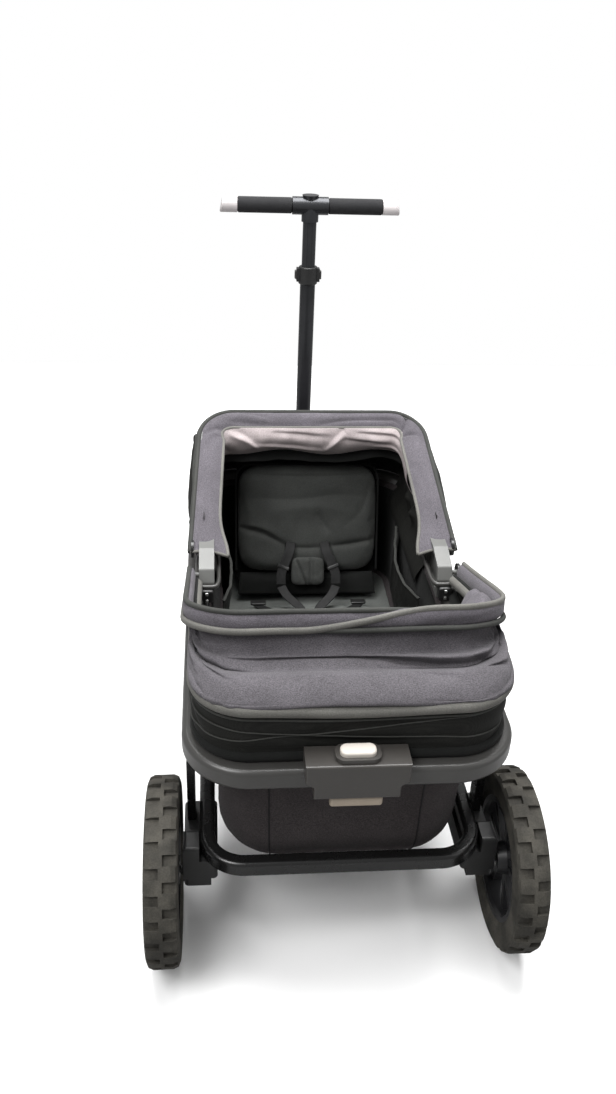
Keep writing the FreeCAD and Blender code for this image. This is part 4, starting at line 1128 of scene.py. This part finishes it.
def make_straps():
    """Shoulder straps loop from their slots down to the buckle, over the seat's front edge."""
    buckle_low, buckle_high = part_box("harness_buckle")
    buckle = (buckle_low + buckle_high) / 2
    for side, sign in (("left", -1), ("right", 1)):
        upper = lean([[sign * 0.037, -0.045, 0.108], [sign * 0.042, -0.062, 0.088],
                      [sign * 0.060, -0.076, 0.045], [sign * 0.061, -0.082, 0.020]])
        path = along(upper, 60)
        strap = sweep(f"shoulder_strap_{side}", path, (0, -1, 0.35), strap_profile(0.021, 0.0018), WEBBING)
        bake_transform(strap)
        if side == "left":
            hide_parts("harness_straps")
        start = upper[-1] + np.array([0, -0.003, -0.003])
        lower = along([start, start + np.array([-sign * 0.012, -0.022, -0.010]),
                       [buckle.x + sign * 0.022, buckle.y + 0.02, buckle_high.z + 0.006],
                       [buckle.x + sign * 0.016, buckle.y + 0.006, buckle.z + 0.001]], 50)
        link = sweep(f"waist_link_{side}", lower, (0, -0.3, 1), strap_profile(0.020, 0.0018), WEBBING)
        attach(link, "lower_frame")
        lap = along([[sign * 0.120, 0.262, 0.2335], [sign * 0.105, 0.235, 0.2350],
                     [sign * 0.070, 0.205, 0.2390],
                     [buckle.x + sign * 0.020, buckle.y, buckle.z]], 50)
        belt = sweep(f"lap_strap_{side}", lap, (0, 0, 1), strap_profile(0.020, 0.0018), WEBBING)
        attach(belt, "lower_frame")
        slide = sweep(f"strap_adjuster_{side}", path[34:39], (0, -1, 0.35),
                      strap_profile(0.026, 0.0040), BLACK_PLASTIC)
        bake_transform(slide)
        plate = pillow(f"lap_slide_{side}", (0.034, 0.016, 0.005), BLACK_PLASTIC, 6, corner=0.3)
        plate.matrix_world = Matrix.Translation((sign * 0.112, 0.250, 0.2375))
        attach(plate, "lower_frame")
    crotch = along([[0, 0.105, 0.2305], [0, 0.135, 0.2320], [0, 0.160, 0.2345],
                    [0, buckle_low.y + 0.004, buckle.z]], 30)
    strap = sweep("crotch_strap", crotch, (0, 0, 1), strap_profile(0.022, 0.0018), WEBBING)
    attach(strap, "lower_frame")
    press = pillow("buckle_press_plate", (0.016, 0.012, 0.003), STEEL, 6)
    press.matrix_world = Matrix.Translation((buckle.x, buckle.y - 0.004, buckle_high.z + 0.0008))
    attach(press, "lower_frame")


def make_hinge_flap():
    """Black cloth that sags from the seat back's lower edge to the seat, over the hinge."""
    a, v = np.meshgrid(np.linspace(-1, 1, 60), np.linspace(0, 1, 14))
    top = lean(np.stack([0.150 * a, -0.030 + 0 * a, 0.036 + 0 * a], -1))
    low = np.stack([0.156 * a, 0.292 + 0 * a, 0.2325 + 0 * a], -1)
    grid = top * (1 - v[..., None]) + low * v[..., None]
    grid[..., 2] += 0.006 * np.sin(np.pi * v) + 0.0015 * np.sin(np.pi * v) * wobble(a * 8, v * 4, 98)
    flap = surface("hinge_flap", grid, BLACK_CLOTH)
    thicken(flap, 0.0010)
    flap = settle(flap)
    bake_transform(flap)


# Frame details

def make_bumper_channels():
    """The raised trim strips that run round the ring's inner lip, at each near corner."""
    x, t, _, _ = u_path(0.2265, 0.4875, 0.0715, 300, 0.20)
    path = np.stack([x, -t, np.full(300, RING_TOP + 0.0016)], 1)
    for side, part in (("right", (x > 0.127)), ("left", (x < -0.127))):
        strip = sweep(f"bumper_channel_{side}", path[part], (0, 0, 1),
                      [(-0.0075, -0.003), (-0.0075, 0.0014), (-0.006, 0.0026), (0.006, 0.0026),
                       (0.0075, 0.0014), (0.0075, -0.003)], CHANNEL)
        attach(strip, "upper_frame")


def make_post_clips():
    """Dark clip ring round each mid post, with the bow's hinge block and its rivets below it."""
    for side, sign in (("left", -1), ("right", 1)):
        centre, ring = sign * 0.2195, []
        for k in range(64):
            angle = 2 * math.pi * k / 64
            ring.append([centre + 0.0200 * math.copysign(abs(math.cos(angle)) ** 0.5, math.cos(angle)),
                         0.0625 * math.copysign(abs(math.sin(angle)) ** 0.4, math.sin(angle)), 0.4795])
        clip = sweep(f"post_clip_{side}", ring, (0, 0, 1), circle(0.0040, 10, 1.2), BUMPER, closed=True)
        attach(clip, "upper_frame")
        block = pillow(f"post_hinge_{side}", (0.026, 0.016, 0.026), BLACK_PLASTIC, 6, corner=0.3)
        block.matrix_world = Matrix.Translation((sign * 0.222, -0.0655, 0.4645))
        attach(block, "upper_frame")
        for key, drop in (("upper", 0.007), ("lower", -0.007)):
            rivet = pillow(f"post_rivet_{key}_{side}", (0.006, 0.004, 0.006), STEEL, 4, corner=0.8)
            rivet.matrix_world = Matrix.Translation((sign * 0.222, -0.0738, 0.4645 + drop))
            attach(rivet, "upper_frame")


def make_floor_and_lights():
    mesh = bpy.data.meshes.new("floor")
    mesh.from_pydata([(-4, -4, 0), (4, -4, 0), (4, 2.4, 0), (-4, 2.4, 0)], [], [(0, 1, 2, 3)])
    pale = Finish("pale_floor", 0.8)
    paper = pale.ramp(pale.noise(1.5, 2.0), [(0.3, (0.90, 0.90, 0.90)), (0.7, (0.93, 0.93, 0.93))])
    # It throws little light back up, so that the wagon's underside stays dark
    seen = pale.nodes.new("ShaderNodeLightPath").outputs["Is Camera Ray"]
    pale.colour(pale.mix(seen, (0.30, 0.30, 0.30), paper))
    add_object("floor", mesh, pale.made)
    lamps = {"key": ((-1.5, -1.5, 3.0), 1.5, 80), "fill": ((2.2, -0.8, 2.0), 2.0, 14),
             "top": ((0.1, 0.5, 3.1), 2.2, 190)}
    for name, (place, size, power) in lamps.items():
        light = bpy.data.lights.new(name, "AREA")
        light.size = size
        light.energy = power
        obj = bpy.data.objects.new(name, light)
        obj.location = place
        obj.rotation_euler = (Vector((0, 0, 0.4)) - Vector(place)).to_track_quat("-Z", "Y").to_euler()
        bpy.context.scene.collection.objects.link(obj)
    world = bpy.data.worlds.new("studio")
    world.use_nodes = True
    nodes, links = world.node_tree.nodes, world.node_tree.links
    nodes["Background"].inputs["Color"].default_value = (1, 1, 1, 1)
    seen = nodes.new("ShaderNodeLightPath").outputs["Is Camera Ray"]
    strength = nodes.new("ShaderNodeMapRange")
    strength.inputs["To Min"].default_value = 0.50
    strength.inputs["To Max"].default_value = 1.0
    links.new(seen, strength.inputs["Value"])
    links.new(strength.outputs["Result"], nodes["Background"].inputs["Strength"])
    bpy.context.scene.world = world
    bpy.context.scene.view_settings.view_transform = "Standard"


def make_camera():
    """The photograph's viewpoint: above the near end, a little left of the middle."""
    yaw, pitch, roll = math.radians(5.99), math.radians(30.25), math.radians(2.54)
    forward = Vector((math.sin(yaw) * math.cos(pitch), math.cos(yaw) * math.cos(pitch), -math.sin(pitch)))
    level = Vector((math.cos(yaw), -math.sin(yaw), 0))
    upward = level.cross(forward)
    right = level * math.cos(roll) + upward * math.sin(roll)
    up = upward * math.cos(roll) - level * math.sin(roll)
    camera = bpy.data.cameras.new("camera")
    camera.lens, camera.sensor_width = 33.5, 36
    obj = bpy.data.objects.new("camera", camera)
    place = Vector((-0.2047, -1.6426, 1.4902))
    obj.matrix_world = Matrix.Translation(place) @ Matrix((right, up, -forward)).transposed().to_4x4()
    bpy.context.scene.collection.objects.link(obj)
    bpy.context.scene.camera = obj


finish_cad_nodes()
make_mesh_band()
make_near_canopy()
make_near_rim()
make_rim_tuck()
make_visor()
make_hood()
make_hood_lining()
make_liner()
make_side_curtains()
make_tub()
make_side_pockets()
make_seat_back()
make_lumbar()
make_seat_base()
make_straps()
make_hinge_flap()
make_bumper_channels()
make_post_clips()
make_floor_and_lights()
make_camera()
